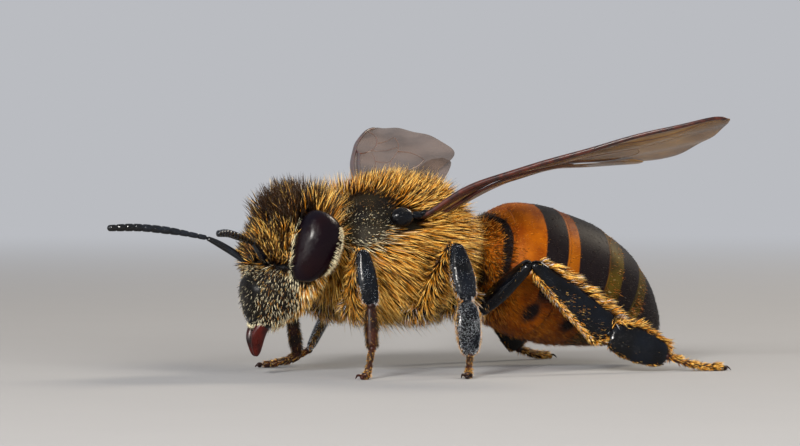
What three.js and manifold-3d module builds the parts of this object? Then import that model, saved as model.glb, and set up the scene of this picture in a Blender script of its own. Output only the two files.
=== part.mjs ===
// A worker honey bee, life size and still, standing on its six feet.
// Millimetres, +Z up. The bee faces -Y and its left side is +X.
// The origin lies on the floor, under the middle of the whole model.
// Each solid reaches to the tips of the hair that grows on it.

import * as THREE from 'three';
import { mergeVertices } from 'three/addons/utils/BufferGeometryUtils.js';
import Module from 'manifold-3d';

const wasm = await Module();
wasm.setup();

// ---- driving dimensions, mm and degrees ----

const GAP = 0.04;               // clearance between neighbouring pieces
const HEAD_PLACE = [0, -3.68, 3.06];
const HEAD_PITCH = -16;         // the jaws swing forward
const EYE_HALF = [0.56, 0.72, 1.06];
const EYE_PLACE = [1.45, 0.02, 0.62];
const EYE_TILT = 5;
const ANTENNA_HALF = 0.25;
const WING_HALF_THICK = 0.25;
const WING_ROOT = [1.75, -0.4, 4.45];
const WING_ARCH = 0.54;         // how far the blade rises above its span near the root
const WING_ARCH_REACH = 1.2;
// how far each wing turns out from straight back, lifts, twists at its root and twists on per mm, and how far it
// untwists again over its middle
const WING_POSES = {
  left: { outward: 42, lift: 15.5, rootTwist: 11, twistPerMm: 0.4, untwist: 12 },
  right: { outward: 63.2, lift: 13.1, rootTwist: 22, twistPerMm: -3.1, untwist: 0 },
};
const UNTWIST_MIDDLE = 3;
const UNTWIST_REACH = 2.6;
const HINDWING_DROP = 0.54;     // the hindwing is tucked under the forewing
const TEGULA_HALF = [0.3, 0.42, 0.34];
const TEGULA_PLACE = [1.82, -0.9, 4.5];
const FLOOR_SLAB = 6;           // depth of the block that cuts the soles flat
const TOE_HEIGHT = 0.15;        // middle of a toe above the floor, less than its half thickness

const BODY_SIDES = 22;
const LIMB_SIDES = 8;

const finish = (color, roughness, metalness = 0) => ({ color, roughness, metalness });
const FINISHES = {
  coat: finish(0xa8752c, 0.8),
  face: finish(0x6b5a34, 0.7),
  cuticle: finish(0x15151b, 0.3),
  tarsus: finish(0x6b3216, 0.45),
  amber: finish(0xb5641a, 0.4),
  banded: finish(0x4a2f16, 0.45),
  eye: finish(0x120c14, 0.15),
  jaw: finish(0x3f120b, 0.25),
  membrane: finish(0x8a7358, 0.35),
};

const bee = new THREE.Group();

// ---- making and cutting closed skins ----

// Joins rows of points into one closed skin, with a fan of faces over each end.
function skinOf(rows) {
  const sides = rows[0].length;
  const points = rows.flat();
  const faces = [];
  for (let row = 0; row + 1 < rows.length; row += 1) {
    for (let i = 0; i < sides; i += 1) {
      const here = row * sides + i;
      const next = row * sides + (i + 1) % sides;
      faces.push(here, next, next + sides, here, next + sides, here + sides);
    }
  }
  const middleOf = (row) => row.reduce((sum, p) => sum.add(p), new THREE.Vector3()).divideScalar(sides);
  const first = points.push(middleOf(rows[0])) - 1;
  const last = points.push(middleOf(rows.at(-1))) - 1;
  const lastRow = (rows.length - 1) * sides;
  for (let i = 0; i < sides; i += 1) {
    const next = (i + 1) % sides;
    faces.push(first, next, i, last, lastRow + i, lastRow + next);
  }
  const geometry = new THREE.BufferGeometry().setFromPoints(points);
  geometry.setIndex(faces);
  return geometry;
}

const vectors = (list) => list.map((p) => new THREE.Vector3(...p));
const smooth = (list) => new THREE.CatmullRomCurve3(vectors(list), false, 'catmullrom', 0.5);

// A body whose section at each place along its middle line is an egg:
// sizes holds [half width, height above, depth below] at evenly spaced places.
function lengthOf({ middle, sizes, side, steps, sides, from = 0, to = 1, grow = 0, keel = 0 }) {
  const line = smooth(middle);
  const size = smooth(sizes);
  const across = new THREE.Vector3(...side).normalize();
  const rows = [];
  for (let step = 0; step <= steps; step += 1) {
    const t = from + (to - from) * step / steps;
    const centre = line.getPoint(t);
    const up = line.getTangent(t).cross(across).normalize();
    const [wide, above, below] = size.getPoint(t).toArray().map((value) => Math.max(value, 0.02) + grow);
    const row = [];
    for (let i = 0; i < sides; i += 1) {
      const angle = 2 * Math.PI * i / sides;
      const rise = Math.sin(angle) * (Math.sin(angle) > 0 ? above : below);
      const reach = Math.cos(angle) * wide * (1 + keel * Math.min(Math.sin(angle), 0));
      row.push(centre.clone().addScaledVector(across, reach).addScaledVector(up, rise));
    }
    rows.push(row);
  }
  return skinOf(rows);
}

function solidFrom(geometry) {
  const bare = geometry.clone();
  bare.deleteAttribute('normal');
  bare.deleteAttribute('uv');
  const merged = mergeVertices(bare, 1e-5);
  return new wasm.Manifold(new wasm.Mesh({
    numProp: 3,
    vertProperties: new Float32Array(merged.attributes.position.array),
    triVerts: new Uint32Array(merged.index.array),
  }));
}

function geometryFrom(solid) {
  const { vertProperties, triVerts } = solid.getMesh();
  const geometry = new THREE.BufferGeometry();
  geometry.setAttribute('position', new THREE.BufferAttribute(vertProperties, 3));
  geometry.setIndex(new THREE.BufferAttribute(triVerts, 1));
  return geometry;
}

function inWorld(mesh, geometry = mesh.geometry) {
  mesh.updateWorldMatrix(true, false);
  return geometry.clone().applyMatrix4(mesh.matrixWorld);
}

// Cuts a mesh back from solids given in the world's frame, and keeps its largest body.
function cutBack(mesh, ...cutters) {
  let solid = solidFrom(inWorld(mesh));
  for (const cutter of cutters) {
    solid = solid.subtract(solidFrom(cutter));
  }
  const bodies = solid.decompose().sort((a, b) => b.volume() - a.volume());
  mesh.geometry = geometryFrom(bodies[0]).applyMatrix4(mesh.matrixWorld.clone().invert());
}

function add(parent, name, geometry, finishName) {
  const mesh = new THREE.Mesh(geometry, new THREE.MeshStandardMaterial(FINISHES[finishName]));
  mesh.name = name;
  parent.add(mesh);
  return mesh;
}

// ---- thorax ----

const THORAX = {
  middle: [[0, -2.45, 3.8], [0, -2.1, 3.75], [0, -1.3, 3.65], [0, -0.3, 3.6], [0, 0.7, 3.6], [0, 1.6, 3.55],
    [0, 2.25, 3.5]],
  sizes: [[0.9, 1.2, 0.85], [1.6, 1.9, 1.6], [2.05, 2.24, 2.2], [2.2, 2.4, 2.45], [2.1, 2.22, 2.3],
    [1.65, 1.65, 1.7], [0.85, 0.95, 0.8]],
  side: [-1, 0, 0],
  keel: 0.22,
  steps: 14,
  sides: BODY_SIDES,
};
const thorax = add(bee, 'thorax', lengthOf(THORAX), 'coat');
const thoraxClear = inWorld(thorax, lengthOf({ ...THORAX, grow: GAP }));

// ---- head, in a frame of its own: -Y out of the face, +Z to the crown ----

const head = new THREE.Group();
head.position.set(...HEAD_PLACE);
head.rotation.x = THREE.MathUtils.degToRad(HEAD_PITCH);
bee.add(head);

const HEAD = {
  middle: [[0, -0.28, -2.1], [0, -0.3, -1.72], [0, -0.2, -1.2], [0, -0.2, -0.6], [0, -0.2, 0], [0, -0.2, 0.6],
    [0, -0.2, 1.2], [0, -0.15, 1.75], [0, 0, 2.25], [0, 0.1, 2.6]],
  sizes: [[0.3, 0.2, 0.25], [0.78, 0.55, 0.5], [1.2, 0.95, 0.75], [1.55, 1.12, 1.05], [1.74, 1.25, 1.2],
    [1.8, 1.25, 1.25], [1.66, 1.12, 1.15], [1.3, 0.85, 0.9], [0.85, 0.5, 0.55], [0.3, 0.2, 0.25]],
  side: [1, 0, 0],
  steps: 16,
  sides: BODY_SIDES,
};

function eyeShape(grow = 0) {
  const shape = new THREE.SphereGeometry(1, 12, 9);
  shape.scale(...EYE_HALF.map((half) => half + grow));
  return shape;
}

function bothSides(make) {
  make('left', 1);
  make('right', -1);
}

const headCoat = add(head, 'head', lengthOf(HEAD), 'face');
const eyeClearings = [];
bothSides((name, sign) => {
  const eye = add(head, `eye_${name}`, eyeShape(), 'eye');
  eye.position.set(sign * EYE_PLACE[0], EYE_PLACE[1], EYE_PLACE[2]);
  eye.rotation.set(THREE.MathUtils.degToRad(-EYE_TILT), 0, sign * THREE.MathUtils.degToRad(-8));
  eyeClearings.push(inWorld(eye, eyeShape(GAP)));
});
cutBack(headCoat, ...eyeClearings, thoraxClear);
const headClear = inWorld(headCoat, lengthOf({ ...HEAD, grow: GAP }));

const JAW_MIDDLE = [[0.32, -0.2, -1.5], [0.31, -0.3, -1.9], [0.29, -0.33, -2.3], [0.2, -0.3, -2.6]];
const JAW_SIZES = [[0.26, 0.25, 0.25], [0.28, 0.26, 0.26], [0.25, 0.25, 0.25], [0.12, 0.12, 0.12]];
bothSides((name, sign) => {
  const jaw = { middle: JAW_MIDDLE, sizes: JAW_SIZES, side: [0, 1, 0], steps: 6, sides: LIMB_SIDES };
  const mirrored = JAW_MIDDLE.map(([x, y, z]) => [sign * x, y, z]);
  const mandible = add(head, `mandible_${name}`, lengthOf({ ...jaw, middle: mirrored }), 'jaw');
  cutBack(mandible, headClear);
});

const TONGUE = {
  middle: [[0, 0.1, -2.2], [0, 0.3, -2], [0, 0.62, -1.45], [0, 0.85, -0.9]],
  sizes: [[0.14, 0.12, 0.12], [0.3, 0.25, 0.25], [0.32, 0.25, 0.25], [0.26, 0.25, 0.25]],
  side: [1, 0, 0],
  steps: 6,
  sides: LIMB_SIDES,
};
const tongue = add(head, 'proboscis', lengthOf(TONGUE), 'jaw');
cutBack(tongue, headClear);

const NECK = {
  middle: [[0, -3.1, 3.35], [0, -2.7, 3.5], [0, -2.2, 3.6]],
  sizes: [[0.6, 0.55, 0.55], [0.6, 0.55, 0.55], [0.6, 0.55, 0.55]],
  side: [1, 0, 0],
  steps: 4,
  sides: LIMB_SIDES,
};
const neck = add(bee, 'neck', lengthOf(NECK), 'coat');
cutBack(neck, headClear, thoraxClear);

// ---- feelers: a long first joint, then the jointed lash ----

const FEELERS = {
  left: {
    base: [0.4, -4.4, 2.98],
    elbow: [1.2, -5.31, 3.8],
    lash: [[1.2, -5.31, 3.8], [1.9, -6.05, 3.98], [2.6, -6.76, 4.11], [3.2, -7.35, 4.19]],
  },
  right: {
    base: [-0.4, -4.4, 2.98],
    elbow: [-0.9, -5.75, 3.91],
    lash: [[-0.9, -5.75, 3.91], [-1.12, -6.7, 4.1], [-1.37, -7.65, 4.21], [-1.6, -8.52, 4.2]],
  },
};

function evenTube(middle, half, steps) {
  const sizes = middle.map((_, i) => ((i === 0 || i === middle.length - 1) ? half * 0.8 : half));
  return { middle, sizes: sizes.map((size) => [size, size, size]), side: [1, 0.3, 0], steps, sides: 8 };
}

bothSides((name) => {
  const { base, elbow, lash } = FEELERS[name];
  const halfway = base.map((value, i) => (value + elbow[i]) / 2);
  const stem = evenTube([base, halfway, elbow], ANTENNA_HALF, 4);
  const scape = add(bee, `antenna_${name}_scape`, lengthOf(stem), 'cuticle');
  cutBack(scape, headClear);
  const flagellum = add(bee, `antenna_${name}_flagellum`, lengthOf(evenTube(lash, ANTENNA_HALF, 9)), 'cuticle');
  cutBack(flagellum, lengthOf({ ...stem, grow: GAP }));
});

// ---- abdomen: six rings cut across one tapering body ----

const ABDOMEN = {
  middle: [[0, 2.15, 3.45], [0, 2.55, 3.38], [0, 3.1, 3.22], [0, 3.85, 3.0], [0, 4.7, 2.75], [0, 5.6, 2.48],
    [0, 6.45, 2.14], [0, 7.25, 1.74], [0, 7.9, 1.37], [0, 8.42, 1.08], [0, 8.67, 0.97]],
  sizes: [[0.6, 0.6, 0.55], [1.15, 1.2, 1.05], [1.78, 1.78, 1.7], [2.06, 1.98, 2.0], [2.15, 2.02, 2.08],
    [2.12, 1.95, 1.98], [1.94, 1.76, 1.74], [1.58, 1.42, 1.36], [1.12, 1.02, 0.94], [0.62, 0.58, 0.52],
    [0.22, 0.22, 0.2]],
  side: [-1, 0, 0],
  sides: BODY_SIDES,
};
const RING_ENDS = [0.02, 0.155, 0.358, 0.512, 0.647, 0.79, 1];
const RING_STEPS = [4, 4, 3, 3, 3, 4];
const HALF_GAP_SHARE = 0.003;

const rings = RING_STEPS.map((steps, i) => {
  const from = RING_ENDS[i] + HALF_GAP_SHARE;
  const to = RING_ENDS[i + 1] - HALF_GAP_SHARE;
  const name = `abdomen_${i + 1}`;
  return add(bee, name, lengthOf({ ...ABDOMEN, from, to, steps }), i < 4 ? 'banded' : 'cuticle');
});
cutBack(rings[0], thoraxClear);
const abdomenClear = lengthOf({ ...ABDOMEN, steps: 18, grow: GAP });

// ---- legs: hip, trochanter, knee, ankle, heel and toe, from the body outwards ----

const LEG_PARTS = ['coxa', 'femur', 'tibia', 'basitarsus', 'tarsus'];
const LEG_FINISHES = {
  fore: ['coat', 'cuticle', 'cuticle', 'tarsus', 'tarsus'],
  mid: ['coat', 'cuticle', 'cuticle', 'cuticle', 'tarsus'],
  hind: ['coat', 'cuticle', 'cuticle', 'cuticle', 'tarsus'],
};
const JOINTS = {
  fore_left: [[0.5, -1.6, 2.1], [1.15, -2.05, 1.85], [2.42, -2.5, 3.61], [2.76, -2.39, 2.04], [2.92, -2.44, 0.84],
    [3.3, -2.9, TOE_HEIGHT]],
  fore_right: [[-0.5, -1.6, 2.1], [-1.15, -2, 1.8], [-2.38, -2.42, 3.3], [-2.8, -2.15, 1.72],
    [-3.02, -1.82, 0.42], [-3.42, -2.75, TOE_HEIGHT]],
  mid_left: [[0.6, 0, 2], [1.35, 0.05, 1.8], [2.88, 0.26, 3.76], [3.38, 0.35, 2.17], [3.7, 0.26, 0.6],
    [4.3, -0.15, TOE_HEIGHT]],
  mid_right: [[-0.6, 0, 2], [-1.35, 0, 1.8], [-2.95, 0.1, 3.62], [-3.6, -0.35, 1.92], [-4.05, -0.92, 0.46],
    [-4.42, -1.85, TOE_HEIGHT]],
  hind_left: [[0.7, 1.3, 2.1], [1.35, 1.95, 1.8], [2.8, 2.78, 3.2], [3.4, 5.02, 1.12], [3.8, 6.75, 0.44],
    [4.2, 8.35, TOE_HEIGHT]],
  hind_right: [[-0.7, 1.3, 2.1], [-1.35, 1.95, 1.8], [-2.75, 2.6, 3.45], [-3.35, 5.1, 2.0],
    [-3.65, 6.05, 0.34], [-3.85, 7.2, TOE_HEIGHT]],
};
// [half width, half thickness] at evenly spaced places from one joint to the next
const LEG_SIZES = {
  fore: [[[0.4, 0.36], [0.46, 0.42], [0.32, 0.3]], [[0.25, 0.25], [0.33, 0.3], [0.3, 0.28], [0.25, 0.25]],
    [[0.25, 0.25], [0.29, 0.26], [0.29, 0.26], [0.26, 0.25]], [[0.25, 0.25], [0.26, 0.25], [0.25, 0.25]]],
  mid: [[[0.4, 0.36], [0.46, 0.42], [0.32, 0.3]], [[0.25, 0.25], [0.34, 0.3], [0.3, 0.28], [0.25, 0.25]],
    [[0.25, 0.25], [0.32, 0.26], [0.37, 0.26], [0.34, 0.26]], [[0.3, 0.26], [0.38, 0.27], [0.37, 0.27], [0.3, 0.25]]],
  hind: [[[0.45, 0.4], [0.5, 0.45], [0.34, 0.32]], [[0.27, 0.25], [0.38, 0.3], [0.36, 0.28], [0.28, 0.25]],
    [[0.25, 0.25], [0.42, 0.27], [0.58, 0.28], [0.62, 0.27]], [[0.5, 0.26], [0.6, 0.27], [0.58, 0.27], [0.42, 0.25]]],
};
// the width of a leg lies along its plane: across its own run, and fore and aft unless the leg is turned on edge
const WIDTH_ALONG = {
  fore: [0.15, 1, 0],
  mid: [0.15, 1, 0],
  hind: [0, 0.55, 0.85],
  mid_right: [0.88, -0.47, 0],
};
const TARSUS_HALF = 0.25;
const TOE_SHARE = 0.45;         // part of the tarsus that lies along the floor
const BEND_RISE = 0.1;

// A leg part runs up its own +Z from its first joint, with its width along its own X.
function legPart(name, from, to, sizes, widthAlong, finishName) {
  const axis = new THREE.Vector3().subVectors(to, from);
  const length = axis.length();
  const places = sizes.length - 1;
  const shape = {
    middle: sizes.map((_, i) => [0, 0, GAP / 2 + (length - GAP) * i / places]),
    sizes: sizes.map(([wide, thick]) => [wide, thick, thick]),
    side: [1, 0, 0],
    steps: places + 2,
    sides: LIMB_SIDES,
  };
  const mesh = add(bee, name, lengthOf(shape), finishName);
  const z = axis.normalize();
  const y = new THREE.Vector3().crossVectors(z, widthAlong).normalize();
  const x = new THREE.Vector3().crossVectors(y, z);
  mesh.quaternion.setFromRotationMatrix(new THREE.Matrix4().makeBasis(x, y, z));
  mesh.position.copy(from);
  return { mesh, clear: inWorld(mesh, lengthOf({ ...shape, grow: GAP })) };
}

const floorSlab = new THREE.BoxGeometry(30, 30, FLOOR_SLAB).translate(0, 0, -FLOOR_SLAB / 2);

// The tarsus comes down from the heel, then lies along the floor on a flat sole.
function tarsusShape(heel, toe, grow = 0) {
  const bend = new THREE.Vector3().lerpVectors(heel, toe, 1 - TOE_SHARE);
  bend.z = toe.z + (heel.z - toe.z) * BEND_RISE;
  const middle = [heel, bend, toe].map((p) => p.toArray());
  const side = new THREE.Vector3().subVectors(toe, heel).cross(new THREE.Vector3(0, 0, 1)).toArray();
  return lengthOf({ ...evenTube(middle, TARSUS_HALF, 6), side, grow });
}

for (const [leg, points] of Object.entries(JOINTS)) {
  const pair = leg.split('_')[0];
  const [hip, trochanter, knee, ankle, heel, toe] = vectors(points);
  const widthAlong = new THREE.Vector3(...(WIDTH_ALONG[leg] ?? WIDTH_ALONG[pair]));
  const cutters = [thoraxClear, headClear];
  const joints = [hip, trochanter, knee, ankle, heel];
  LEG_PARTS.slice(0, 4).forEach((part, i) => {
    const made = legPart(`leg_${leg}_${part}`, joints[i], joints[i + 1], LEG_SIZES[pair][i], widthAlong,
      LEG_FINISHES[pair][i]);
    cutBack(made.mesh, ...cutters, floorSlab);
    cutters.push(made.clear);
  });
  const tarsus = add(bee, `leg_${leg}_tarsus`, tarsusShape(heel, toe), 'tarsus');
  cutBack(tarsus, ...cutters.slice(2), floorSlab);
}

// ---- wings: thin twisted blades, each outline given as [along the span, behind the front edge] ----

const FORE_FRONT = [[0, 0, 0], [1.9, -0.14, 0], [3.9, -0.2, 0], [5.8, -0.14, 0], [7.4, -0.02, 0], [8.6, 0.22, 0],
  [9.2, 0.6, 0]];
const FORE_BACK = [[0, 0.5, 0], [1.8, 1.15, 0], [3.5, 1.8, 0], [5.1, 2.55, 0], [6.5, 3, 0], [7.75, 2.4, 0],
  [8.8, 1.4, 0], [9.2, 0.72, 0]];
const HIND_FRONT = [[0.4, 0.55, 0], [2, 0.95, 0], [4, 1.45, 0], [5.6, 2.05, 0], [6.15, 2.55, 0]];
const HIND_BACK = [[0.4, 1.1, 0], [1.6, 1.8, 0], [3.2, 2.25, 0], [4.7, 2.7, 0], [5.8, 2.88, 0], [6.15, 2.72, 0]];

// The wing's own surface: out along an arched span, then back along a chord that twists.
function onWing(sign, pose, along, behind) {
  const lift = THREE.MathUtils.degToRad(pose.lift);
  const turn = THREE.MathUtils.degToRad(pose.outward);
  const untwist = pose.untwist * Math.exp(-(((along - UNTWIST_MIDDLE) / UNTWIST_REACH) ** 2));
  const twist = THREE.MathUtils.degToRad(pose.rootTwist + pose.twistPerMm * along - untwist);
  const span = new THREE.Vector3(sign * Math.sin(turn) * Math.cos(lift), Math.cos(turn) * Math.cos(lift),
    Math.sin(lift));
  const level = new THREE.Vector3(-sign * Math.cos(turn), Math.sin(turn), 0);
  const up = new THREE.Vector3().crossVectors(level, span).multiplyScalar(-sign);
  const root = new THREE.Vector3(sign * WING_ROOT[0], WING_ROOT[1], WING_ROOT[2]);
  root.z += WING_ARCH * (1 - Math.exp(-((along / WING_ARCH_REACH) ** 2)));
  const chord = level.multiplyScalar(Math.cos(twist)).addScaledVector(up, -Math.sin(twist));
  return { point: root.addScaledVector(span, along).addScaledVector(chord, behind), up };
}

function wingBlade(sign, pose, front, back, drop = 0, grow = 0) {
  const frontEdge = smooth(front);
  const backEdge = smooth(back);
  const steps = 10;
  const sides = 8;
  const half = WING_HALF_THICK + grow;
  const rows = [];
  for (let step = 0; step <= steps; step += 1) {
    const a = frontEdge.getPoint(step / steps);
    const b = backEdge.getPoint(step / steps);
    const row = [];
    for (let i = 0; i < sides; i += 1) {
      const angle = 2 * Math.PI * i / sides;
      // flat over most of the chord, with round edges
      const share = (1 - Math.sign(Math.cos(angle)) * Math.abs(Math.cos(angle)) ** 0.6) / 2;
      const outset = Math.cos(angle) * -grow;
      const along = a.x + (b.x - a.x) * share;
      const behind = a.y + (b.y - a.y) * share + outset;
      const { point, up } = onWing(sign, pose, along, behind);
      const rise = half * Math.sign(Math.sin(angle)) * Math.abs(Math.sin(angle)) ** 0.5 - drop;
      row.push(point.addScaledVector(up, rise));
    }
    rows.push(sign > 0 ? row.reverse() : row);
  }
  return skinOf(rows);
}

bothSides((name, sign) => {
  const tegula = add(bee, `tegula_${name}`, new THREE.SphereGeometry(1, 12, 8), 'cuticle');
  tegula.scale.set(...TEGULA_HALF);
  tegula.position.set(sign * TEGULA_PLACE[0], TEGULA_PLACE[1], TEGULA_PLACE[2]);
  const tegulaClear = inWorld(tegula, new THREE.SphereGeometry(1 + GAP / TEGULA_HALF[0], 12, 8));
  cutBack(tegula, thoraxClear);

  const pose = WING_POSES[name];
  const forewing = add(bee, `forewing_${name}`, wingBlade(sign, pose, FORE_FRONT, FORE_BACK), 'membrane');
  cutBack(forewing, thoraxClear, tegulaClear);
  const tucked = wingBlade(sign, pose, HIND_FRONT, HIND_BACK, HINDWING_DROP);
  const hindwing = add(bee, `hindwing_${name}`, tucked, 'membrane');
  const foreClear = wingBlade(sign, pose, FORE_FRONT, FORE_BACK, 0, GAP);
  cutBack(hindwing, foreClear, thoraxClear, abdomenClear, tegulaClear);
});

// ---- the origin goes to the floor under the middle of the whole model ----

bee.updateMatrixWorld(true);
const box = new THREE.Box3().setFromObject(bee, true);
bee.position.set(-(box.min.x + box.max.x) / 2, -(box.min.y + box.max.y) / 2, -box.min.z);

export default bee;
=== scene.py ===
"""A worker honey bee as a still, life-size model: skin, eyes, wings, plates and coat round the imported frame.

Shapes are worked out in millimetres in the bee's own frame: it faces -Y, its left side is +X, the floor is
z = 0 and x = 0 is its middle plane. put() shifts them to the frame's origin and turns them into metres.
"""
import math
import bpy
import numpy as np
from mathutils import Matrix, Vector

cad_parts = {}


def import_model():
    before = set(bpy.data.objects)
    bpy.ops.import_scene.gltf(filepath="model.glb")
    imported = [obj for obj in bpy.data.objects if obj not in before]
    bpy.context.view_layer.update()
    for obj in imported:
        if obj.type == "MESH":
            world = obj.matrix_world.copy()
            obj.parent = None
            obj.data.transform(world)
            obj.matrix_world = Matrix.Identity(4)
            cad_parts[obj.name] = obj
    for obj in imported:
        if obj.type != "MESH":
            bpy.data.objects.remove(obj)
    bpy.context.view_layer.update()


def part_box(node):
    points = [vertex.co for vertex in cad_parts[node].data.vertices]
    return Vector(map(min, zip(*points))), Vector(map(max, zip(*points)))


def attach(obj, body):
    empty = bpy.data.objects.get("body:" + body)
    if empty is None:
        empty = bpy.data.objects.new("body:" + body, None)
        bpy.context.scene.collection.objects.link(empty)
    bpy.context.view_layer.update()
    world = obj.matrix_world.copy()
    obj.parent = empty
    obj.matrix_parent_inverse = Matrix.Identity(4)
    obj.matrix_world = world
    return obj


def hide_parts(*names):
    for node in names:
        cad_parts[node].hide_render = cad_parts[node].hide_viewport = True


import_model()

MM = 0.001
UP = np.array([0.0, 0.0, 1.0])
BACK = np.array([0.0, 1.0, 0.0])

# The thorax solid is even about the middle plane, and its middle lies this far ahead of the bee's own origin.
THORAX_MIDDLE_Y = -0.1
thorax_low, thorax_high = (np.array(corner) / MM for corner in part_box("thorax"))
ORIGIN = (thorax_low + thorax_high) / 2 - [0, THORAX_MIDDLE_Y, 0]
ORIGIN[2] = 0

SIGNS = {"left": 1, "right": -1}     # which way along X each side lies

# ---- arithmetic on arrays of points ----


def unit(v):
    return v / np.maximum(np.linalg.norm(v, axis=-1, keepdims=True), 1e-12)


def smooth(low, high, x):
    """Rises from 0 at low to 1 at high along 3t^2 - 2t^3."""
    t = np.clip((x - low) / (high - low), 0, 1)
    return t * t * (3 - 2 * t)


def hill(x, width):
    """A bell: 1 at x = 0, falling off over about width."""
    return np.exp(-((x / width) ** 2))


def spline(stations, t):
    """The smooth line through evenly spaced stations at share t of its length: Catmull-Rom."""
    p = np.asarray(stations, float)
    x = np.clip(t, 0, 1) * (len(p) - 1)
    i = np.minimum(x.astype(int), len(p) - 2)
    f = (x - i).reshape(x.shape + (1,) * (p.ndim - 1))
    far = np.concatenate([[2 * p[0] - p[1]], p, [2 * p[-1] - p[-2]]])
    a, b, c, d = (far[i + k] for k in range(4))
    return b + 0.5 * f * (c - a + f * (2 * a - 5 * b + 4 * c - d + f * (3 * (b - c) + d - a)))


def turned_x(p, degrees):
    """Points turned about the X axis."""
    c, s = math.cos(math.radians(degrees)), math.sin(math.radians(degrees))
    return np.stack([p[..., 0], c * p[..., 1] - s * p[..., 2], s * p[..., 1] + c * p[..., 2]], -1)


def boxy(x, power):
    """A sine or cosine, squared off by a power under 1."""
    return np.sign(x) * abs(x) ** power


def egg(v, wide, above, below, power):
    """Across and up offsets of an egg section at share v round it."""
    angle = 2 * np.pi * v
    c, s = boxy(np.cos(angle), power), boxy(np.sin(angle), power)
    return wide * c, s * np.where(s > 0, above, below)


class Skin:
    """A closed surface from a formula of two shares: u from end to end, v round it."""

    STEP = 1e-3     # the small step of a share that shows which way the skin runs

    def __init__(self, at):
        self.at = at

    def look(self, u, v):
        """Point, outward normal, and how much skin a small step of u and v covers."""
        e = self.STEP
        p = self.at(u, v)
        along = self.at(np.minimum(u + e, 1), v) - self.at(np.maximum(u - e, 0), v)
        around = self.at(u, (v + e) % 1) - self.at(u, (v - e) % 1)
        n = np.cross(around, along)
        return p, unit(n) * self.sign(), np.linalg.norm(n, axis=-1)

    def sign(self):
        """+1 where the formula runs so that its own normals point out."""
        if not hasattr(self, "_sign"):
            u, v = (g.ravel() for g in np.meshgrid(np.linspace(0.1, 0.9, 9), np.arange(12) / 12))
            e, p = self.STEP, self.at(u, v)
            around = self.at(u, (v + e) % 1) - self.at(u, (v - e) % 1)
            along = self.at(u + e, v) - self.at(u - e, v)
            middle = self.at(u, v) + self.at(u, (v + 0.5) % 1)
            self._sign = float(np.sign((np.cross(around, along) * (p - middle / 2)).sum()))
        return self._sign

    def grid(self, rows, columns):
        """Points on a grid of shares and the triangles between them, with a pole at each end."""
        u, v = np.meshgrid(np.linspace(0, 1, rows), np.arange(columns) / columns, indexing="ij")
        p = self.at(u.ravel(), v.ravel()).reshape(rows, columns, 3)
        points = np.concatenate([p.reshape(-1, 3), [p[0].mean(0), p[-1].mean(0)]])
        u, v = np.append(u.ravel(), [0, 1]), np.append(v.ravel(), [0, 0])
        r, c = np.arange(rows - 1)[:, None] * columns, np.arange(columns)[None]
        a, b = r + c, r + (c + 1) % columns
        last, ring = (rows - 1) * columns, np.arange(columns)
        ends = rows * columns + np.zeros(columns, int)
        faces = [np.stack([a, b, b + columns], -1), np.stack([a, b + columns, a + columns], -1),
                 np.stack([ends, np.roll(ring, -1), ring], -1),
                 np.stack([ends + 1, last + ring, last + np.roll(ring, -1)], -1)]
        faces = np.concatenate([f.reshape(-1, 3) for f in faces])
        return points, faces, u, v


def tube(middle, sizes, side, rounded=0.0, keel=0.0, power=1.0, relief=None):
    """A skin carried along a smooth line. Its section is an egg of half width, height above and depth below.
    Its ends close over a share rounded of the length, as an ellipse does, and relief(s, v) scales it."""
    middle, sizes, side = np.asarray(middle, float), np.asarray(sizes, float), unit(np.asarray(side, float))
    if sizes.shape[1] == 2:
        sizes = sizes[:, [0, 1, 1]]

    def at(u, v):
        s = (1 - np.cos(np.pi * u)) / 2 if rounded else u
        heading = unit(spline(middle, s + 1e-3) - spline(middle, s - 1e-3))
        up = unit(np.cross(heading, side))
        cap = np.sqrt(1 - (1 - np.clip(np.minimum(s, 1 - s) / rounded, 0, 1)) ** 2) if rounded else 1.0
        scale = cap * (relief(s, v) if relief else 1.0)
        wide, above, below = spline(sizes, s).T
        x, y = egg(v, wide * scale, above * scale, below * scale, power)
        x = x * (1 + keel * np.minimum(np.sin(2 * np.pi * v), 0))
        return spline(middle, s) + side * x[..., None] + up * y[..., None]

    return Skin(at)


def ball(centre, half, turn=None):
    """An egg-shaped skin about a centre, its poles along its own Z; turn sets it in place."""
    def at(u, v):
        s, angle = np.pi * (0.001 + 0.998 * u), 2 * np.pi * v
        p = np.stack([np.sin(s) * np.cos(angle), np.sin(s) * np.sin(angle), -np.cos(s)], -1) * half
        return (turn(p) if turn else p) + centre

    return Skin(at)


def outward(points, faces):
    """The faces, turned round where the closed mesh they make is inside out."""
    a, b, c = (points[faces[:, k]] for k in range(3))
    return faces if (np.cross(a, b) * c).sum() > 0 else faces[:, ::-1]


def joined(*parts):
    """Points and triangles of several skins as one mesh. Each part is a skin with its rows and columns."""
    grids = [skin.grid(rows, columns)[:2] for skin, rows, columns in parts]
    offsets = np.cumsum([0] + [len(p) for p, _ in grids[:-1]])
    return (np.concatenate([p for p, _ in grids]),
            np.concatenate([outward(p, f) + o for (p, f), o in zip(grids, offsets)]))


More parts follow.
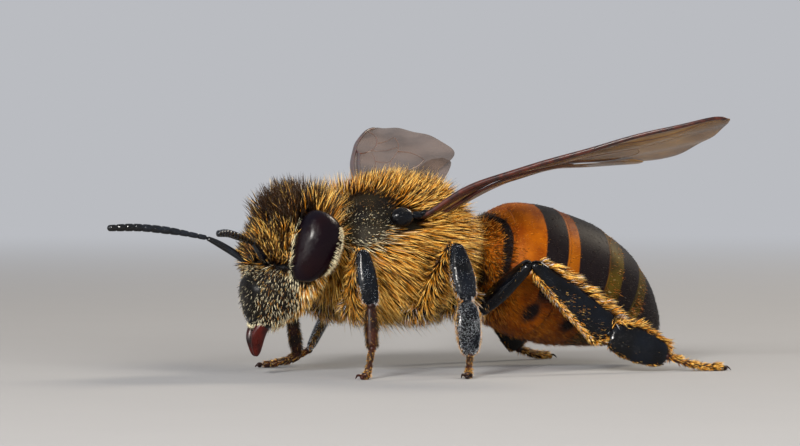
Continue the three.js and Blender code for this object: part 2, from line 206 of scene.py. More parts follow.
def put(name, points, faces, material, slot, replaces=(), marks=None, bake_map=None):
    """Makes a piece from points in millimetres and triangles. marks are numbers on its points, and bake_map
    is its UVs."""
    mesh = bpy.data.meshes.new(name)
    mesh.vertices.add(len(points))
    mesh.vertices.foreach_set("co", ((points + ORIGIN) * MM).astype(np.float32).ravel())
    mesh.loops.add(faces.size)
    mesh.loops.foreach_set("vertex_index", faces.astype(np.int32).ravel())
    mesh.polygons.add(len(faces))
    mesh.polygons.foreach_set("loop_start", np.arange(0, faces.size, 3, dtype=np.int32))
    mesh.polygons.foreach_set("use_smooth", np.ones(len(faces), bool))
    for key, values in (marks or {}).items():
        attribute = mesh.attributes.new(key, "FLOAT", "POINT")
        attribute.data.foreach_set("value", np.broadcast_to(values, len(points)).astype(np.float32))
    if bake_map is not None:
        layer = mesh.uv_layers.new(name="OFBake")
        layer.data.foreach_set("uv", bake_map[faces.ravel()].astype(np.float32).ravel())
    mesh.update(calc_edges=True)
    mesh.validate()
    mesh.materials.append(material)
    piece = bpy.data.objects.new(name, mesh)
    bpy.context.scene.collection.objects.link(piece)
    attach(piece, "root")
    if replaces:
        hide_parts(*replaces)


def cover(name, skin, rows, columns, material, slot, replaces=(), marks=None):
    """A piece that is one whole skin. marks is a formula of u, v and the points."""
    points, faces, u, v = skin.grid(rows, columns)
    numbers = marks(u, v, points) if marks else None
    put(name, points, outward(points, faces), material, slot, replaces, numbers)


# ---- the coat: every tuft is a three-sided spike that bends the way the coat lies ----

PATCH = 0.003           # width of a tuft's patch on the bake map
ABOVE_FLOOR = 0.005     # hair is kept this far off the floor
TRIALS = 6              # places tried for every tuft asked for
ROOT_DEPTH = 0.02       # how far under the skin a tuft starts
CLUMP_SIZE = 0.42       # wavelength of the ripple that draws tufts together
RING_SHARES = {2: [0, 0.5], 3: [0, 0.36, 0.72]}


def spikes(root, start, finish, length, thick, rings, rng):
    """Spikes that leave along start and end along finish.

    centre(t) = root + length * (start t + (finish - start) t^2 / 2). Each has rings of three points and a
    tip. Returns points, faces, share along and number of points per spike."""
    t = np.array(RING_SHARES[rings] + [1.0])
    bend = (finish - start) / 2
    curve = start[:, None] * t[:, None] + bend[:, None] * t[:, None] ** 2
    centre = root[:, None] + length[:, None, None] * curve
    heading = unit(start[:, None] + 2 * bend[:, None] * t[:, None])
    side = unit(np.cross(heading, unit(rng.normal(size=(len(root), 1, 3)))))
    other = np.cross(heading, side)
    turn = 2 * np.pi * np.arange(3) / 3
    radius = (thick[:, None] * (1 - 0.75 * t[:-1] ** 1.5))[:, :, None, None]
    circle = (side[:, :-1, None] * np.cos(turn)[:, None]
              + other[:, :-1, None] * np.sin(turn)[:, None]) * radius
    body = (centre[:, :-1, None] + circle).reshape(len(root), rings * 3, 3)
    points = np.concatenate([body, centre[:, -1:]], 1)
    each = rings * 3 + 1
    k, m = np.arange(3), (np.arange(3) + 1) % 3
    faces = [[[0, 2, 1]]]
    for r in range(rings - 1):
        low, high = r * 3, r * 3 + 3
        faces += [np.stack([low + k, low + m, high + m], -1), np.stack([low + k, high + m, high + k], -1)]
    faces += [np.stack([(rings - 1) * 3 + k, (rings - 1) * 3 + m, np.full(3, each - 1)], -1)]
    faces = np.concatenate(faces)
    faces = (faces[None] + each * np.arange(len(root))[:, None, None]).reshape(-1, 3)
    along = np.append(np.repeat(t[:-1], 3), 1.0)
    return points.reshape(-1, 3), faces, along, each


def ripple(p, size, seed):
    """A smooth random vector at each point: four sine waves in random directions, size apart."""
    rng = np.random.default_rng(seed)
    wave = unit(rng.normal(size=(4, 3))) * 2 * np.pi / size
    phase = rng.random((4, 3)) * 2 * np.pi
    return np.sin((p @ wave.T)[:, :, None] + phase).sum(1) / 2


def tufts(skin, count, density, style, seed, rings, u_range=(0, 1)):
    """Plants count tufts on a skin, or fewer where too few of its trial places have room for one.

    density(u, v, p, n) is how thickly they stand. style gives, for the same values, length, lift (degrees
    off the skin), flow (the way they lie) and, where they differ from the usual, droop, thick, dark, pale,
    jitter, clump and ragged."""
    rng = np.random.default_rng(seed)
    u = u_range[0] + (u_range[1] - u_range[0]) * rng.random(count * TRIALS)
    v = rng.random(count * TRIALS)
    p, n, area = skin.look(u, v)
    weight = area * density(u, v, p, n)
    count = min(count, int((weight > 0).sum()))
    chosen = rng.choice(len(u), count, replace=False, p=weight / weight.sum())
    u, v, p, n = u[chosen], v[chosen], p[chosen], n[chosen]
    s = {"droop": 0.25, "thick": 0.014, "dark": 0.0, "pale": 0.0, "jitter": 0.16, "clump": 0.16,
         "ragged": 0.35}
    s.update(style(u, v, p, n))
    wide = {key: np.broadcast_to(value, count) for key, value in s.items() if key != "flow"}
    flow = np.broadcast_to(s["flow"], (count, 3)).astype(float)
    flow = unit(flow - (flow * n).sum(-1, keepdims=True) * n)
    lift = np.radians(wide["lift"])[:, None]
    jitter = rng.normal(size=(count, 3)) * wide["jitter"][:, None]
    jitter += ripple(p, CLUMP_SIZE, seed) * wide["clump"][:, None]
    start = unit(n * np.sin(lift) + flow * np.cos(lift) + jitter)
    droop = wide["droop"][:, None]
    finish = unit(start * (1 - droop) + flow * droop * 1.6 + jitter * 0.5)
    length = wide["length"] * (1.1 - (0.1 + wide["ragged"]) * rng.random(count))
    thick = wide["thick"] * rng.uniform(0.75, 1.2, count)
    points, faces, along, each = spikes(p - n * ROOT_DEPTH, start, finish, length, thick, rings, rng)
    marks = {"along": np.tile(along, count), "shade": np.repeat(rng.random(count), each),
             "dark": np.repeat(wide["dark"], each), "pale": np.repeat(wide["pale"], each)}
    corner = np.append(np.tile(np.arange(3) / 3, rings), 0.5)
    patch = np.stack([np.tile(corner, count), np.tile(along, count)], -1) * PATCH
    return points, faces, marks, np.repeat(np.stack([v, u], -1), each, 0), patch


def coat(name, lots, material, slot="coat"):
    """One piece from several lots of tufts. On the bake map each lot has a strip of its own."""
    offsets = np.cumsum([0] + [len(lot[0]) for lot in lots[:-1]])
    points = np.concatenate([lot[0] for lot in lots])
    points[:, 2] = np.maximum(points[:, 2], ABOVE_FLOOR)
    faces = np.concatenate([lot[1] + offset for lot, offset in zip(lots, offsets)])
    marks = {key: np.concatenate([lot[2][key] for lot in lots]) for key in lots[0][2]}
    strips = [(lot[3] + [0, i]) / [1, len(lots)] for i, lot in enumerate(lots)]
    bake_map = np.concatenate([strip * (1 - PATCH) + lot[4] for strip, lot in zip(strips, lots)])
    put(name, points, faces, material, slot, marks=marks, bake_map=bake_map)


# ---- materials ----


def paint(code):
    """A colour given as six hex digits, in the linear values that shaders take."""
    c = np.array([int(code[i:i + 2], 16) for i in (0, 2, 4)]) / 255
    return (*np.where(c > 0.04045, ((c + 0.055) / 1.055) ** 2.4, c / 12.92), 1.0)


class Value:
    """A number in a shader. Arithmetic on it adds Math nodes."""

    def __init__(self, finish, socket):
        self.finish, self.socket = finish, socket

    def math(self, operation, *others):
        return self.finish.node("ShaderNodeMath", {"operation": operation},
                                {0: self, **dict(enumerate(others, 1))})

    def __add__(self, other):
        return self.math("ADD", other)

    def __sub__(self, other):
        return self.math("SUBTRACT", other)

    def __rsub__(self, other):
        return (self * -1).math("ADD", other)

    def __mul__(self, other):
        return self.math("MULTIPLY", other)

    def rise(self, low, high):
        """0 below low, 1 above high, smooth between."""
        return self.finish.node("ShaderNodeMapRange", {"interpolation_type": "SMOOTHSTEP"},
                                {"Value": self, "From Min": low, "From Max": high})

    __radd__, __rmul__ = __add__, __mul__


class Finish:
    """A material built round one Principled shader."""

    def __init__(self, name, **fixed):
        self.material = bpy.data.materials.new(name)
        self.material.use_nodes = True
        self.tree = self.material.node_tree
        self.shader = self.tree.nodes["Principled BSDF"]
        self.set(**fixed)

    def node(self, kind, settings=None, inputs=None, output=0):
        node = self.tree.nodes.new(kind)
        for key, value in (settings or {}).items():
            setattr(node, key, value)
        for key, value in (inputs or {}).items():
            self.feed(node.inputs[key], value)
        return Value(self, node.outputs[output])

    def feed(self, socket, value):
        if isinstance(value, Value):
            self.tree.links.new(value.socket, socket)
        else:
            socket.default_value = value

    def set(self, **values):
        for key, value in values.items():
            self.feed(self.shader.inputs[key.replace("_", " ")], value)
        return self

    def mark(self, name):
        return self.node("ShaderNodeAttribute", {"attribute_name": name}, output="Fac")

    def place(self):
        return self.node("ShaderNodeTexCoord", output="Object")

    def noise(self, scale, detail, stretch=None):
        where = self.place()
        if stretch:
            where = self.node("ShaderNodeMapping", inputs={"Vector": where, "Scale": stretch})
        return self.node("ShaderNodeTexNoise", inputs={"Vector": where, "Scale": scale, "Detail": detail})

    def cells(self, scale):
        """Distance from the nearest of many scattered points."""
        return self.node("ShaderNodeTexVoronoi", {"feature": "F1"}, {"Vector": self.place(), "Scale": scale},
                         "Distance")

    def mix(self, factor, first, second):
        return self.node("ShaderNodeMix", {"data_type": "RGBA"}, {0: factor, 6: first, 7: second}, 2)

    def bump(self, height, strength, distance):
        return self.node("ShaderNodeBump", inputs={"Height": height, "Strength": strength,
                                                   "Distance": distance})


def coat_finish(name, shaft, tip, light):
    """Tufts: dark brown at the root, a painted shade deep in the coat, then the colours of shaft and
    tip, the lighter tip a painted highlight. Their marks say what share of them are dark or light instead."""
    f = Finish(name, Roughness=0.34, Specular_IOR_Level=0.25)
    along, shade, dark, pale = (f.mark(key) for key in ("along", "shade", "dark", "pale"))
    # every colour darkens towards the root: painted shade deep in the coat
    gold = f.mix(along.rise(0.05, 0.55), paint("120802"), paint(shaft))
    # the lighter tip colour is a painted highlight
    gold = f.mix(along.rise(0.6, 1.0), gold, paint(tip))
    gold = f.mix(shade.rise(0.52, 0.72) * 0.93, gold, paint("261102"))
    # some tufts at random take the tip colour along most of their length: painted highlights on single strands
    gold = f.mix((1 - shade).rise(0.62, 0.88) * along.rise(0.1, 0.7) * 0.8, gold, paint(tip))
    # dark and pale tufts are darker at the root too: painted shade
    black = f.mix(along.rise(0.3, 1.0), paint("060403"), paint("301d0c"))
    pallid = f.mix(along.rise(0.0, 0.6), paint("3c3018"), paint(light))
    is_dark = (dark * 1.3 - (shade * 7.3).math("FRACT")).rise(0.0, 0.25)
    is_pale = (pale * 1.3 - (shade * 13.7).math("FRACT")).rise(0.0, 0.25)
    colour = f.mix(is_pale, f.mix(is_dark, gold, black), pallid)
    return f.set(Base_Color=colour).material


def cuticle_finish(name, base, sheen, roughness, shine, pitted=0.45):
    """Polished black cuticle with fine pits and a slow cloud of wear in its roughness. The same cloud mixes
    in the sheen colour, a painted sheen, blue on the legs and feelers.
    """
    f = Finish(name)
    cloud, pits = f.noise(1400, 3), f.cells(26000)
    # the base colour takes the sheen colour in slow clouds: a painted sheen
    f.set(Base_Color=f.mix(cloud.rise(0.35, 0.7), paint(base), paint(sheen)),
          Roughness=cloud.rise(0.3, 0.8) * 0.16 + roughness,
          Normal=f.bump(pits.rise(0.0, 0.35) + f.noise(7000, 3) * 1.2, pitted, 0.00002))
    return f.set(Specular_IOR_Level=shine).material


def eye_finish():
    """Compound eye: near-black brown with a plum cast, under a fine net of facets, and bluer towards its
    rim as a painted reflection.
    """
    f = Finish("eye")
    cloud, facets = f.noise(900, 2), f.cells(42000)
    # bluer towards the rim seen from the side: a painted reflection
    plum = f.mix(f.mark("rim"), paint("0b0408"), paint("06060f"))
    f.set(Base_Color=f.mix(cloud.rise(0.35, 0.75) * 0.6, plum, paint("180808")),
          Roughness=cloud.rise(0.3, 0.8) * 0.06 + 0.09,
          Normal=f.bump(facets.rise(0.0, 0.6) + f.noise(9000, 2) * 0.3, 0.45, 0.000006))
    return f.set(Specular_IOR_Level=0.12).material


def abdomen_finish():
    """Banded plates: amber ahead, black behind, with a fine cross grain and pores. Towards the rear the
    amber turns dark olive, partly the plates' own tone and partly painted shade.
    """
    f = Finish("banded plates")
    black, straw, cloud = f.mark("black"), f.mark("straw"), f.noise(1500, 4)
    pores, grain = f.cells(16000), f.noise(5000, 3, (1, 3.5, 1))
    amber = f.mix(cloud.rise(0.3, 0.7), paint("662c02"), paint("8e4b05"))
    # olive: the rear plates' own paler tone darkened by painted shade
    olive = f.mix(cloud.rise(0.3, 0.7), paint("221a05"), paint("40330d"))
    pale = f.mix(straw, amber, olive)
    edge = (black + (cloud - 0.5) * 0.9).rise(0.2, 0.85)
    f.set(Base_Color=f.mix(edge, pale, f.mix(grain, paint("080608"), paint("181213"))),
          Roughness=grain * 0.2 + 0.4,
          Normal=f.bump(pores.rise(0.0, 0.4) + grain * 0.5, 0.3, 0.00001))
    return f.set(Specular_IOR_Level=0.07).material


def amber_finish(name, dark, light, roughness):
    """Red-brown horn of jaws and feet: darker clouds in a glossy lighter ground."""
    f = Finish(name)
    cloud, grain = f.noise(2600, 3), f.noise(9000, 2, (1, 1, 0.4))
    f.set(Base_Color=f.mix(cloud.rise(0.3, 0.7), paint(dark), paint(light)),
          Roughness=grain * 0.2 + roughness, Normal=f.bump(grain, 0.25, 0.00001))
    return f.set(Specular_IOR_Level=0.2, Coat_Weight=0.12, Coat_Roughness=0.15).material


def membrane_finish(name, thin, thick, alpha):
    """Clear wing skin, smokier along its front edge."""
    f = Finish(name, Roughness=0.2)
    cloud, dust = f.noise(700, 3), f.cells(14000)
    smoke = f.mark("smoke")
    f.set(Base_Color=f.mix(cloud.rise(0.3, 0.7), paint(thin), paint(thick)),
          Alpha=smoke * 0.35 + cloud * 0.1 + alpha,
          Normal=f.bump(dust.rise(0.0, 0.3) + cloud * 2, 0.3, 0.00001))
    return f.set(Specular_IOR_Level=0.07).material


def vein_finish():
    """Wing veins: dark red-brown, and a lighter brown where they thin out."""
    f = Finish("wing vein", Roughness=0.3)
    grain, thin = f.noise(6000, 2), f.mark("thin")
    dark = f.mix(grain.rise(0.3, 0.7), paint("1c0907"), paint("471c10"))
    f.set(Base_Color=f.mix(thin, dark, paint("745038")), Roughness=grain * 0.2 + 0.22,
          Normal=f.bump(grain, 0.3, 0.00001))
    return f.material


# each coat's second colour is its tufts' tip, lighter as a painted highlight
COAT = coat_finish("coat", "c67c12", "f6ce72", "f2e8c4")
BANDED_COAT = coat_finish("banded coat", "9c5006", "d08c30", "e8d498")
LEG_COAT = coat_finish("leg coat", "d08414", "ffda7c", "dde2ea")
CUTICLE = cuticle_finish("black cuticle", "010102", "040810", 0.12, 0.24)
FACE = cuticle_finish("face cuticle", "040303", "100e0a", 0.3, 0.15)
LASH = cuticle_finish("feeler cuticle", "010102", "060c16", 0.12, 0.5, 0.1)
SKIN = cuticle_finish("thorax cuticle", "080604", "1e190e", 0.4, 0.12)
EYE, PLATES, VEIN = eye_finish(), abdomen_finish(), vein_finish()
JAW = amber_finish("jaw", "100202", "3c0d07", 0.2)
FOOT = amber_finish("foot", "0e0403", "2e1108", 0.28)

# ---- thorax ----

THORAX = tube(
    [[0, -2.42, 3.75], [0, -2.25, 3.72], [0, -1.9, 3.68], [0, -1.3, 3.62], [0, -0.4, 3.6], [0, 0.5, 3.6],
     [0, 1.3, 3.52], [0, 1.95, 3.44], [0, 2.25, 3.42]],
    [[0.3, 0.3, 0.3], [0.85, 0.95, 0.9], [1.35, 1.42, 1.25], [1.65, 1.66, 1.55], [1.8, 1.78, 1.72],
     [1.68, 1.68, 1.62], [1.3, 1.25, 1.25], [0.8, 0.72, 0.75], [0.25, 0.25, 0.25]],
    [-1, 0, 0], keel=0.15,
    relief=lambda s, v: 1 + 0.09 * hill(s - 0.7, 0.06) * hill(v - 0.25, 0.09) - 0.05 * hill(s - 0.61, 0.02)
    - 0.04 * hill(abs(v - 0.25) - 0.16, 0.012) * smooth(0.15, 0.3, s))
cover("thorax_skin", THORAX, 90, 120, SKIN, "coat", ["thorax"])

# ---- head: worked out in its own frame, -Y out of the face and +Z to the crown, then pitched ----

HEAD_PLACE = np.array([0, -3.68, 3.06])
HEAD_PITCH = -16


def from_head(p):
    return turned_x(np.asarray(p, float), HEAD_PITCH) + HEAD_PLACE


def to_head(p):
    return turned_x(np.asarray(p, float) - HEAD_PLACE, -HEAD_PITCH)


def pitched(skin):
    return Skin(lambda u, v: from_head(skin.at(u, v)))


HEAD_SHAPE = tube(
    [[0, -0.43, -1.92], [0, -0.33, -1.62], [0, -0.18, -1.15], [0, -0.06, -0.65], [0, 0, -0.1], [0, 0, 0.45],
     [0, 0, 0.95], [0, 0, 1.35], [0, 0.03, 1.62], [0, 0.05, 1.75]],
    [[0.2, 0.15, 0.25], [0.62, 0.36, 0.52], [0.92, 0.58, 0.9], [1.17, 0.7, 1.04], [1.4, 0.82, 0.98],
     [1.52, 0.88, 0.92], [1.42, 0.78, 0.82], [1.1, 0.56, 0.6], [0.66, 0.32, 0.34], [0.2, 0.1, 0.1]],
    [1, 0, 0], power=0.9)


def face_relief(u, v):
    """The head's shape pushed out along -Y over the clypeus, in round it, and in at the feelers' sockets."""
    p = HEAD_SHAPE.at(u, v)
    x, z = p[..., 0], p[..., 2]
    facing = smooth(0.1, -0.5, p[..., 1])
    inside = (x / (0.62 - 0.1 * smooth(-0.7, -1.5, z))) ** 2 + ((z + 1.12) / 0.62) ** 2
    socket = hill(np.hypot(abs(x) - 0.38, z + 0.2), 0.15)
    lift = 0.09 * smooth(1.05, 0.6, inside) - 0.05 * hill(inside - 1.1, 0.12) - 0.1 * socket
    lift += 0.05 * hill(x, 0.2) * hill(z + 0.3, 0.25) - 0.03 * hill(x, 0.04) * smooth(0.0, 0.5, z)
    return p - BACK * (lift * facing)[..., None]


HEAD = pitched(Skin(face_relief))
cover("head_skin", HEAD, 110, 130, FACE, "face_coat", ["head"])

EYE_PLACE = np.array([1.45, 0.02, 0.62])
EYE_HALF = np.array([0.52, 0.66, 1.05])
EYE_LEAN, EYE_YAW = -5, -8
EYE_BOW = 0.3               # how much further its rear margin bows out than its front margin


def eye_spread(height):
    """How wide the eye is and how far back its middle lies, at a share of its half height. It is D-shaped."""
    ring = np.sqrt(np.maximum(1 - height ** 2, 1e-4))
    return (1 + 0.2 * height) * ring ** -0.2, EYE_HALF[1] * EYE_BOW * (ring - 0.75)


def yawed(p, degrees):
    """Points turned about the Z axis."""
    c, s = math.cos(math.radians(degrees)), math.sin(math.radians(degrees))
    return np.stack([c * p[..., 0] - s * p[..., 1], s * p[..., 0] + c * p[..., 1], p[..., 2]], -1)


def eye_turn(sign):
    """Sets the eye's own frame leaning back over its foot."""
    def turn(p):
        width, back = eye_spread(p[..., 2] / EYE_HALF[2])
        p = np.stack([p[..., 0] * width, p[..., 1] * width + back, p[..., 2]], -1)
        return turned_x(yawed(p, EYE_YAW * sign), EYE_LEAN)

    return turn


def to_eye(q, sign):
    """Points of the head's frame in the eye's own, leaning and turned with it."""
    return yawed(turned_x(q - EYE_PLACE * [sign, 1, 1], -EYE_LEAN), -EYE_YAW * sign)


def eye_depth(q, sign):
    """How far out of the eye a point of the head's frame is: 1 on its surface."""
    p = to_eye(q, sign)
    height = p[..., 2] / EYE_HALF[2]
    width, back = eye_spread(np.clip(height, -0.97, 0.97))
    shares = [p[..., 0] / width / EYE_HALF[0], (p[..., 1] - back) / width / EYE_HALF[1], height]
    return np.linalg.norm(np.stack(shares, -1), axis=-1)


def rim_reflection_marks(place):
    """How near a point is to the rim of the eye at a place, seen from the side: there the eye is painted
    bluer, a painted reflection.
    """
    def marks(u, v, p):
        reach = np.linalg.norm((to_head(p) - place)[:, 1:] / EYE_HALF[1:], axis=1)
        return {"rim": smooth(0.75, 1.0, reach)}
    return marks


EYES = {}
for side, sign in SIGNS.items():
    place = EYE_PLACE * [sign, 1, 1]
    eye = EYES[side] = pitched(ball(place, EYE_HALF, eye_turn(sign)))
    cover(f"{side}_eye", eye, 70, 90, EYE, "eye", [f"eye_{side}"], rim_reflection_marks(place))
    jaw_line = np.array([[0.3, -0.26, -1.5], [0.2, -0.35, -1.82], [0.14, -0.37, -2.13], [0.09, -0.3, -2.43],
                         [0.05, -0.22, -2.68]])
    jaw = tube(from_head(jaw_line * [sign, 1, 1]),
               [[0.24, 0.14], [0.29, 0.13], [0.25, 0.11], [0.17, 0.08], [0.08, 0.05]],
               [-0.12 * sign, 0.95, 0.25], rounded=0.12, power=0.85)
    cover(f"{side}_mandible", jaw, 36, 28, JAW, "jaw", [f"mandible_{side}"])

labrum = tube(from_head([[-0.36, -0.5, -1.68], [0, -0.62, -1.72], [0.36, -0.5, -1.68]]),
              [[0.14, 0.06], [0.18, 0.08], [0.14, 0.06]], [0, 0.25, 1], rounded=0.25)
cover("labrum", labrum, 30, 20, FACE, "face_coat")
tongue = tube(from_head([[0, 0.0, -1.76], [0, 0.16, -1.62], [0, 0.42, -1.3], [0, 0.6, -0.95]]),
              [[0.08, 0.07], [0.16, 0.12], [0.22, 0.17], [0.2, 0.16]], [1, 0, 0], rounded=0.15)
cover("tongue", tongue, 30, 20, FOOT, "jaw", ["proboscis"])
neck = tube([[0, -3.2, 3.35], [0, -2.7, 3.5], [0, -1.9, 3.6]], [[0.5, 0.45]] * 3, [1, 0, 0])
cover("neck_skin", neck, 12, 32, SKIN, "coat", ["neck"])
SMALL_EYES = [[0, -0.22, 1.44], [-0.27, -0.34, 1.56], [0.27, -0.34, 1.56]]
ocelli = [ball(from_head(middle), [0.13] * 3) for middle in SMALL_EYES]
put("small_eyes", *joined(*((ocellus, 14, 18) for ocellus in ocelli)), EYE, "eye", marks={"rim": 0.0})

# ---- feelers ----

FEELERS = {
    "left": ([0.4, -4.4, 2.98], [1.2, -5.31, 3.8],
             [[1.2, -5.31, 3.8], [1.9, -6.05, 3.98], [2.6, -6.76, 4.11], [3.2, -7.35, 4.12]]),
    "right": ([-0.4, -4.4, 2.98], [-0.9, -5.75, 3.91],
              [[-0.9, -5.75, 3.91], [-1.12, -6.7, 4.1], [-1.37, -7.65, 4.21], [-1.6, -8.52, 4.2]]),
}
LASH_JOINTS = 11
LASH_SIZES = [[half, half] for half in (0.07, 0.085, 0.11, 0.11, 0.11, 0.09)]
SOCKET_HALF = 0.15          # the ball a feeler turns on


def jointed(count, waist):
    """Scales a tube in at each of its joints."""
    def relief(s, v):
        share = (s * count) % 1
        return 1 - waist * (hill(share, 0.12) + hill(share - 1, 0.12))
    return relief


for side, (base, elbow, lash) in FEELERS.items():
    base, elbow = np.array(base), np.array(elbow)
    bowed = [base * 0.6 + elbow * 0.4 + [0, 0, 0.06], base * 0.25 + elbow * 0.75 + [0, 0, 0.05]]
    stem = tube([base, *bowed, elbow],
                [[0.075, 0.075], [0.105, 0.105], [0.1, 0.1], [0.065, 0.065]], [1, 0.3, 0], rounded=0.05)
    socket = ball(base, [SOCKET_HALF] * 3)
    put(f"{side}_scape", *joined((stem, 40, 22), (socket, 16, 20)), LASH, "antenna",
        [f"antenna_{side}_scape"])
    whip = tube(lash, LASH_SIZES, [1, 0.3, 0], rounded=0.025, relief=jointed(LASH_JOINTS, 0.2))
    cover(f"{side}_lash", whip, 150, 22, LASH, "antenna", [f"antenna_{side}_flagellum"])

# ---- abdomen: six plates, each tucked under the one before ----

ABDOMEN_LINE = [
    [0, 2.15, 3.45], [0, 2.55, 3.38], [0, 3.1, 3.22], [0, 3.85, 3.0], [0, 4.7, 2.75], [0, 5.6, 2.48],
    [0, 6.45, 2.14], [0, 7.25, 1.74], [0, 7.9, 1.37], [0, 8.42, 1.08], [0, 8.67, 0.97]]
ABDOMEN_SIZES = np.array([
    [0.6, 0.6, 0.55], [1.15, 1.2, 1.05], [1.78, 1.78, 1.7], [2.06, 1.98, 2.0], [2.15, 2.02, 2.08],
    [2.12, 1.95, 1.98], [1.94, 1.76, 1.74], [1.58, 1.42, 1.36], [1.12, 1.02, 0.94], [0.62, 0.58, 0.52],
    [0.22, 0.22, 0.2]])
RING_ENDS = [0.02, 0.155, 0.358, 0.512, 0.647, 0.79, 1.0]
# where each band starts and ends, in shares of the abdomen's length
BLACK_BANDS = [(0.075, 0.11), (0.28, 0.36), (0.405, 0.514), (0.575, 0.65), (0.7, 1.2)]
abdomen = tube(ABDOMEN_LINE, np.maximum(ABDOMEN_SIZES - 0.09, 0.05), [-1, 0, 0])
TUCK, LIP = 0.03, 0.014     # how far a plate runs under the one ahead, and over the one behind


def plate_share(u, low, high):
    return np.clip(low - TUCK + (high - low + TUCK + LIP) * u, 0, 1)


def plate(low, high):
    """The abdomen from share low to high, drawn in ahead where it is tucked in, and standing proud behind."""
    def at(u, v):
        s = plate_share(u, low, high)
        p, centre = abdomen.at(s, v), spline(ABDOMEN_LINE, s)
        grow = 1 + 0.016 * smooth(0.3, 1.0, u) - 0.04 * smooth(0.25, 0.0, u) - 0.02 * smooth(0.985, 1.0, u)
        return centre + (p - centre) * grow[..., None]
    return Skin(at)


def band_marks(low, high):
    """Black bands across the back, ending on the flanks, a blotch low on each side, and further back a mark
    that turns the ground dark olive, partly the plates' own tone and partly painted shade.
    """
    def marks(u, v, p):
        s = plate_share(u, low, high)
        flank = abs((v + 0.25) % 1 - 0.5) * 2
        black = np.zeros(len(p))
        for start, end in BLACK_BANDS:
            first = start < 0.2
            lean = 0.015 * smooth(0.4, 0.7, flank) + 0.05 * first * smooth(0.0, 0.4, flank)
            edge = end + lean * first
            band = smooth(start - 0.006 + lean, start + 0.006 + lean, s)
            band = band * smooth(edge + 0.004, edge - 0.004, s)
            blotch = hill(flank - 0.74, 0.09) * hill(s - (start + end) / 2 + 0.01, 0.035)
            across = smooth(0.78 if start < 0.6 else 1.5, 0.6, flank)
            black = np.maximum(black, np.maximum(band * across, blotch))
        # the second mark darkens the rear plates' ground: partly their own tone, partly painted shade
        return {"black": black, "straw": 0.25 * smooth(0.35, 0.37, s) + 0.75 * smooth(0.505, 0.52, s)}
    return marks


PLATES_MADE = []
for i, (low, high) in enumerate(zip(RING_ENDS, RING_ENDS[1:])):
    ring, marks = plate(low, high), band_marks(low, high)
    cover(f"plate_{i + 1}", ring, 46, 120, PLATES, "abdomen", [f"abdomen_{i + 1}"], marks)
    PLATES_MADE.append((ring, marks))

# ---- legs ----

# of each leg: the hip, the joint below it, the knee, the ankle, the heel and the toe
JOINTS = {
    "fore_left": [[0.5, -1.6, 2.1], [1.15, -2.05, 1.85], [2.42, -2.5, 3.61], [2.76, -2.39, 2.04],
                  [2.92, -2.44, 0.84], [3.3, -2.9, 0.1]],
    "fore_right": [[-0.5, -1.6, 2.1], [-1.15, -2, 1.8], [-2.38, -2.42, 3.3], [-2.8, -2.15, 1.72],
                   [-3.02, -1.82, 0.42], [-3.42, -2.75, 0.1]],
    "mid_left": [[0.6, 0, 2], [1.35, 0.05, 1.8], [2.88, 0.26, 3.76], [3.38, 0.35, 2.17], [3.7, 0.26, 0.6],
                 [4.3, -0.15, 0.1]],
    "mid_right": [[-0.6, 0, 2], [-1.35, 0, 1.8], [-2.95, 0.1, 3.62], [-3.6, -0.35, 1.92],
                  [-4.05, -0.92, 0.46], [-4.42, -1.85, 0.1]],
    "hind_left": [[0.7, 1.3, 2.1], [1.35, 1.95, 1.8], [2.8, 2.78, 3.2], [3.4, 5.02, 1.12], [3.8, 6.75, 0.44],
                  [4.2, 8.35, 0.1]],
    "hind_right": [[-0.7, 1.3, 2.1], [-1.35, 1.95, 1.8], [-2.75, 2.6, 3.45], [-3.35, 5.1, 2.0],
                   [-3.65, 6.05, 0.34], [-3.85, 7.2, 0.1]],
}
# half width and half thickness from one joint to the next: hip piece, thigh, shank and first foot joint
LEG_SIZES = {
    "fore": [[[0.36, 0.32], [0.42, 0.38], [0.28, 0.26]],
             [[0.16, 0.15], [0.25, 0.22], [0.24, 0.2], [0.17, 0.16]],
             [[0.17, 0.15], [0.28, 0.2], [0.3, 0.21], [0.22, 0.17]],
             [[0.14, 0.12], [0.16, 0.13], [0.14, 0.12]]],
    "mid": [[[0.36, 0.32], [0.42, 0.38], [0.28, 0.26]],
            [[0.16, 0.15], [0.28, 0.24], [0.26, 0.22], [0.18, 0.16]],
            [[0.17, 0.15], [0.31, 0.2], [0.36, 0.22], [0.28, 0.18]],
            [[0.22, 0.14], [0.36, 0.17], [0.35, 0.16], [0.22, 0.12]]],
    "hind": [[[0.4, 0.36], [0.46, 0.42], [0.3, 0.28]],
             [[0.2, 0.18], [0.33, 0.26], [0.31, 0.22], [0.2, 0.17]],
             [[0.17, 0.15], [0.34, 0.17], [0.48, 0.18], [0.52, 0.16]],
             [[0.4, 0.15], [0.52, 0.17], [0.48, 0.16], [0.3, 0.13]]],
}
# the way a leg's width lies: fore and aft, up and back on the hind legs, and across on the leg turned on edge
WIDTH_ALONG = {"fore": [0.15, 1, 0], "mid": [0.15, 1, 0], "hind": [0, 0.55, 0.85],
               "mid_right": [0.88, -0.47, 0]}
LEG_ROUNDED = (0.1, 0.1, 0.09, 0.12)        # share of each leg part over which its ends close
FOOT_HALF = 0.1
HIND_SOCKET = np.array([0, -0.4, 0.45])     # from a hind hip up and forward into the body
HIND_SOCKET_HALF = [0.42, 0.62, 0.62]
THIGH_KNOB, ANKLE_KNOB, HEEL_KNOB = 0.22, 0.13, 0.11    # radii of the balls that fill the joints


def leg_part(start, end, sizes, width_along, rounded):
    """A tube from one joint to the next with its width along the leg's plane."""
    heading = unit(end - start)
    side = unit(width_along - (width_along @ heading) * heading)
    steps = np.linspace(0, 1, len(sizes))[:, None]
    return tube(start + (end - start) * steps, sizes, side, rounded=rounded, power=0.9)


